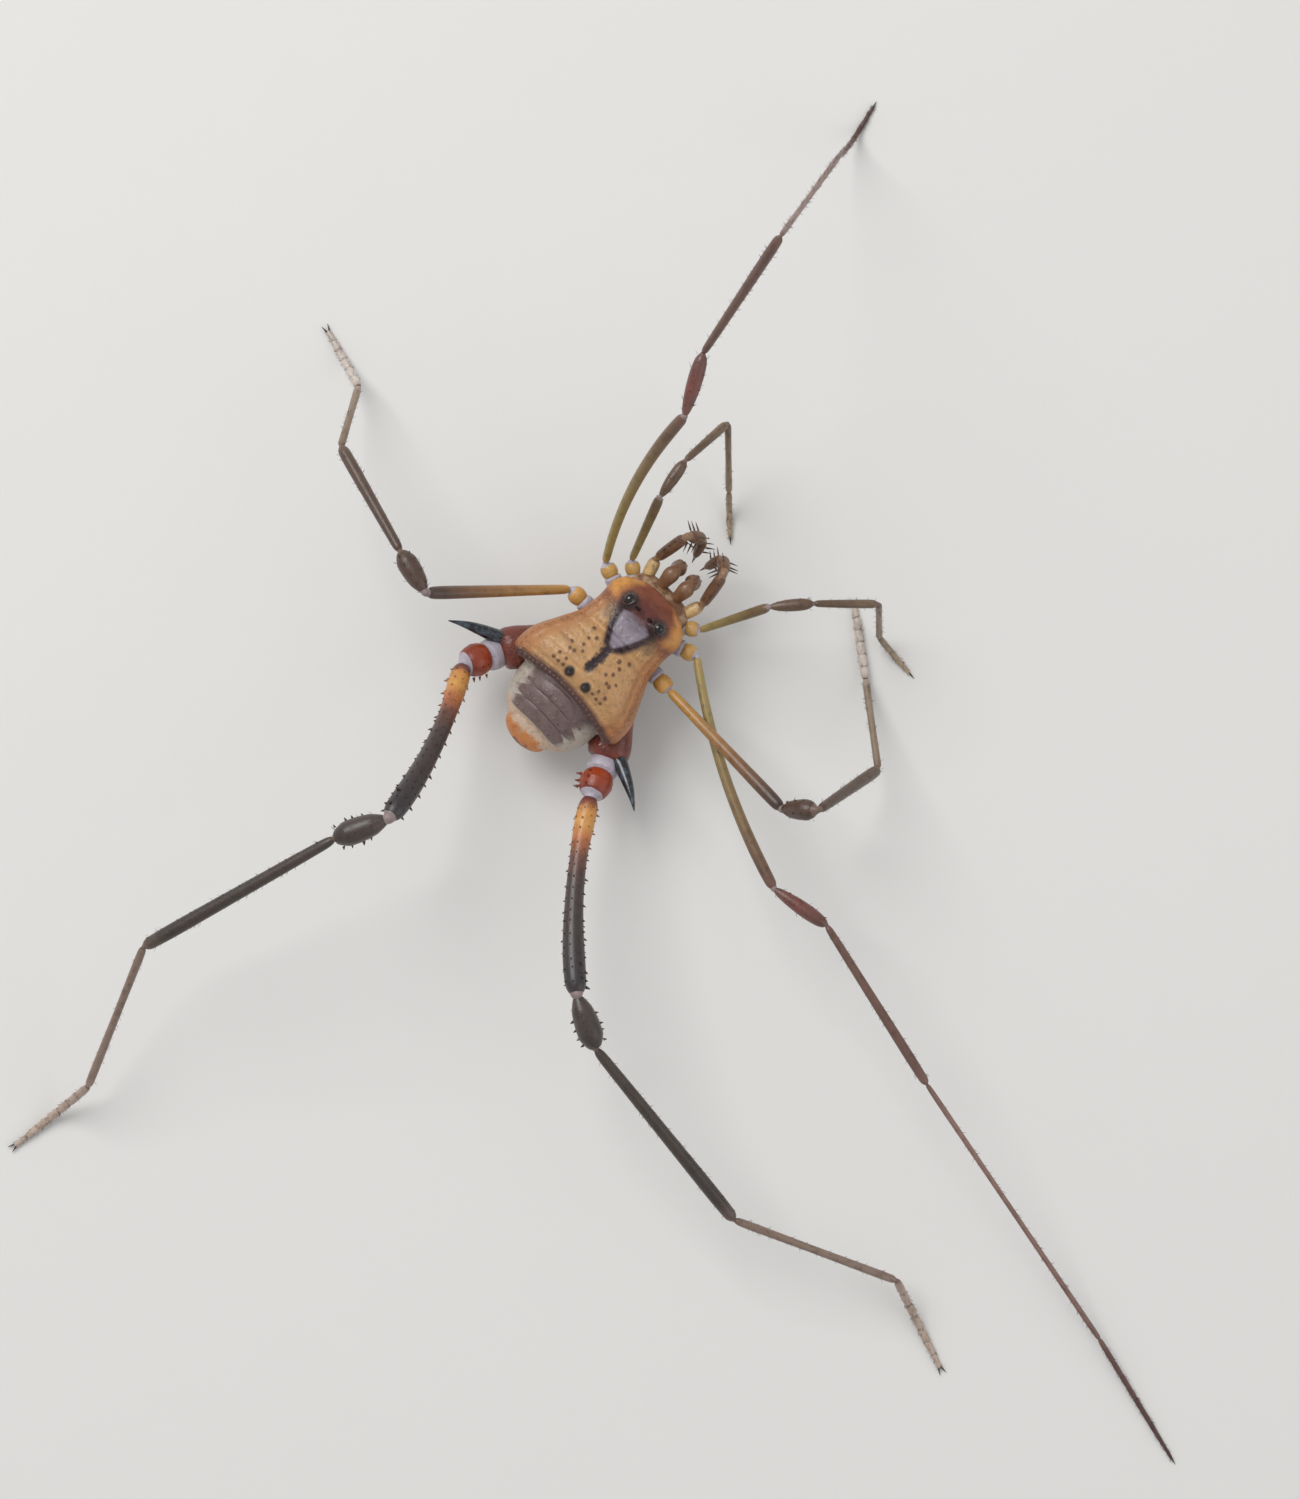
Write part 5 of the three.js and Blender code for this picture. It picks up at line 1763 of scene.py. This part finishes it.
def build_coxae(look):
    finish = Finish("coxa_shell")
    shade = finish.mix(finish.y.ramp(0.4, 1.9), look.coxa, srgb(146, 96, 62))
    shade = finish.layers(
        finish.mottled(shade, 0.8),
        (finish.mark("grain").ramp(0.3, 0.9), srgb(70, 28, 20)),
        (finish.spot((4.35, -0.62), (0.5, 0.42), 0.45, even=True), look.spine),
    )
    shell = finish.shell(shade, 0.26, 0.1, 0.35, depth=0.02)
    finish = Finish("coxa_spine_shell")
    # The blue-grey patches over the black are painted highlight: reflections of the lamps and sky on
    # the glossy spine. The material called black carries them.
    shade = finish.mix(finish.noise(0.4).ramp(0.45, 0.7), look.spine, srgb(70, 80, 92))
    black = finish.surface(
        shade, finish.noise(0.3) * 0.15 + 0.14, finish.noise(0.12), Coat_Weight=0.6,
        Coat_Roughness=0.12,
    )
    for word, side in SIDES:
        settle(fourth_coxa(word, side), shell, [f"coxa_4_{word}"])
        settle(coxa_spine(word, side), black)


def build_legs(look):
    thorn = thorn_stock("leg_thorn_stock", 0.5)
    hair = thorn_stock("leg_hair_stock", 0.3, 3)
    claw = thorn_stock("claw_stock", 0.8)
    hair_shell = plain_shell("bristle_shell", look.bristle_colour, 0.5, 0.3)
    claw_shell = plain_shell("claw_shell", srgb(34, 24, 20), 0.25, 0.3, 0.4)
    for pair in LEG_LENGTHS:
        shell = leg_finish(pair, look)
        for word, side in SIDES:
            skin, segments, rings = leg_skin(pair, word, side)
            merge(skin, [leg_thorns(pair, word, side, segments, thorn)])
            parts = SEGMENTS if pair == 4 else SEGMENTS[1:]
            settle(skin, shell, [f"leg_{pair}_{word}_{part}" for part in parts])
            settle(leg_hairs(pair, word, segments, rings, look, hair), hair_shell)
            settle(leg_claws(pair, word, side, rings, claw), claw_shell)
    discard(thorn, hair, claw)


# Directions of the picture's right and upper sides on the floor, and what lies at its middle
PICTURE_RIGHT = Vector((0.698, 0.716, 0)).normalized()
PICTURE_TOP = Vector((-0.716, 0.698, 0)).normalized()
PICTURE_MIDDLE = Vector((4.57, 0.88, 0))


def add_light(name, aim, aside, height, size, power):
    """A round soft light that hangs aside of what it aims at."""
    bpy.ops.object.light_add(type="AREA", location=aim + aside + Vector((0, 0, height)))
    light = bpy.context.object
    light.name = light.data.name = name
    light.data.shape = "DISK"
    light.data.size = size
    light.data.energy = power
    light.rotation_euler = (aim - light.location).to_track_quat("-Z", "Y").to_euler()


def build_floor(look):
    clear_selection()
    bpy.ops.mesh.primitive_plane_add(size=look.floor_size)
    floor = bpy.context.object
    floor.name = "floor"
    finish = Finish("floor_paper")
    shade = finish.mix(finish.noise(3.0) * 0.15, look.floor_colour, (0.7, 0.69, 0.67))
    floor.data.materials.append(finish.surface(shade, 0.75))


def light_scene(scene, aim, look):
    """Hangs the two lights and sets the even light of the sky."""
    aside = PICTURE_TOP * 0.2 - PICTURE_RIGHT * 0.16
    opposite = PICTURE_RIGHT * 0.3 - PICTURE_TOP * 0.12
    add_light("key_light", aim, aside, 0.3, 0.26, look.key_power)
    add_light("fill_light", aim, opposite, 0.2, 0.3, look.fill_power)
    world = bpy.data.worlds.new("studio")
    world.use_nodes = True
    sky = world.node_tree.nodes["Background"].inputs
    sky["Color"].default_value = (0.95, 0.97, 1.0, 1)
    sky["Strength"].default_value = look.sky
    scene.world = world
    scene.view_settings.view_transform = "Standard"


def place_camera(scene, aim, look):
    """Sets the camera above the animal, looking straight down."""
    camera = bpy.data.objects.new("camera", bpy.data.cameras.new("camera"))
    scene.collection.objects.link(camera)
    camera.location = aim + Vector((0, 0, look.camera_height))
    turned = Matrix((PICTURE_RIGHT, PICTURE_TOP, UPWARDS)).transposed()
    camera.rotation_euler = turned.to_euler()
    camera.data.sensor_width = 36
    camera.data.lens = look.lens
    camera.data.clip_start = 0.005
    camera.data.clip_end = 5
    scene.camera = camera


# Operators, one for each group of pieces


class HARVESTMAN_OT_scutum(bpy.types.Operator):
    """Build the large shield of the back, with its grains and the points of the eye mound"""

    bl_idname = "harvestman.scutum"
    bl_label = "Back Shield"

    def execute(self, context):
        build_back(context.scene.harvestman_body)
        return {"FINISHED"}


class HARVESTMAN_OT_eyes(bpy.types.Operator):
    """Build the two eyes, each a clear bulge in a dark rim"""

    bl_idname = "harvestman.eyes"
    bl_label = "Eyes"

    def execute(self, context):
        build_eyes()
        return {"FINISHED"}


class HARVESTMAN_OT_rear(bpy.types.Operator):
    """Build the free plates, the soft skin under them and the last plate"""

    bl_idname = "harvestman.rear"
    bl_label = "Rear Plates"

    def execute(self, context):
        look = context.scene.harvestman_body
        build_free_plates(look)
        build_rear_skin(look)
        build_last_plate(look)
        return {"FINISHED"}


class HARVESTMAN_OT_belly(bpy.types.Operator):
    """Build the underside with the front coxae, and the soft skin at its sides"""

    bl_idname = "harvestman.belly"
    bl_label = "Underside"

    def execute(self, context):
        build_belly(context.scene.harvestman_body)
        return {"FINISHED"}


class HARVESTMAN_OT_mouthparts(bpy.types.Operator):
    """Build the jaws, the grasping feelers with their spines, and the face"""

    bl_idname = "harvestman.mouthparts"
    bl_label = "Jaws and Feelers"

    def execute(self, context):
        build_mouthparts(context.scene.harvestman_body)
        return {"FINISHED"}


class HARVESTMAN_OT_coxae(bpy.types.Operator):
    """Build the swollen fourth coxae, each with its large black spine"""

    bl_idname = "harvestman.coxae"
    bl_label = "Fourth Coxae"

    def execute(self, context):
        build_coxae(context.scene.harvestman_body)
        return {"FINISHED"}


class HARVESTMAN_OT_legs(bpy.types.Operator):
    """Build the eight legs, each one unbroken skin with its thorns, bristles and claws"""

    bl_idname = "harvestman.legs"
    bl_label = "Legs"

    def execute(self, context):
        build_legs(context.scene.harvestman_legs)
        return {"FINISHED"}


class HARVESTMAN_OT_stage(bpy.types.Operator):
    """Lay the floor, hang the lights and set the camera above the animal"""

    bl_idname = "harvestman.stage"
    bl_label = "Floor, Lights and Camera"

    def execute(self, context):
        look = context.scene.harvestman_stage
        build_floor(look)
        aim = ORIGIN + PICTURE_MIDDLE * MM
        aim.z = 0
        light_scene(context.scene, aim, look)
        place_camera(context.scene, aim, look)
        return {"FINISHED"}


class HARVESTMAN_PT_panel(bpy.types.Panel):
    """Lists the settings and the pieces"""

    bl_idname = "HARVESTMAN_PT_panel"
    bl_label = "Harvestman"
    bl_space_type = "VIEW_3D"
    bl_region_type = "UI"
    bl_category = "Harvestman"

    def draw(self, context):
        layout = self.layout
        for operator in OPERATORS:
            layout.operator(operator.bl_idname)
        for name, _ in SETTINGS:
            settings = getattr(context.scene, name)
            box = layout.box()
            for key in settings.__annotations__:
                box.prop(settings, key)


OPERATORS = (
    HARVESTMAN_OT_scutum,
    HARVESTMAN_OT_eyes,
    HARVESTMAN_OT_rear,
    HARVESTMAN_OT_belly,
    HARVESTMAN_OT_mouthparts,
    HARVESTMAN_OT_coxae,
    HARVESTMAN_OT_legs,
    HARVESTMAN_OT_stage,
)
SETTINGS = (
    ("harvestman_body", BodySettings),
    ("harvestman_legs", LegSettings),
    ("harvestman_stage", StageSettings),
)


def register():
    for name, group in SETTINGS:
        bpy.utils.register_class(group)
        setattr(bpy.types.Scene, name, PointerProperty(type=group))
    for operator in OPERATORS:
        bpy.utils.register_class(operator)
    bpy.utils.register_class(HARVESTMAN_PT_panel)


def unregister():
    bpy.utils.unregister_class(HARVESTMAN_PT_panel)
    for operator in reversed(OPERATORS):
        bpy.utils.unregister_class(operator)
    for name, group in reversed(SETTINGS):
        delattr(bpy.types.Scene, name)
        bpy.utils.unregister_class(group)


def main():
    """Registers the add-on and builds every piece."""
    register()
    for operator in OPERATORS:
        group, name = operator.bl_idname.split(".")
        getattr(getattr(bpy.ops, group), name)()


if __name__ == "__main__":
    main()
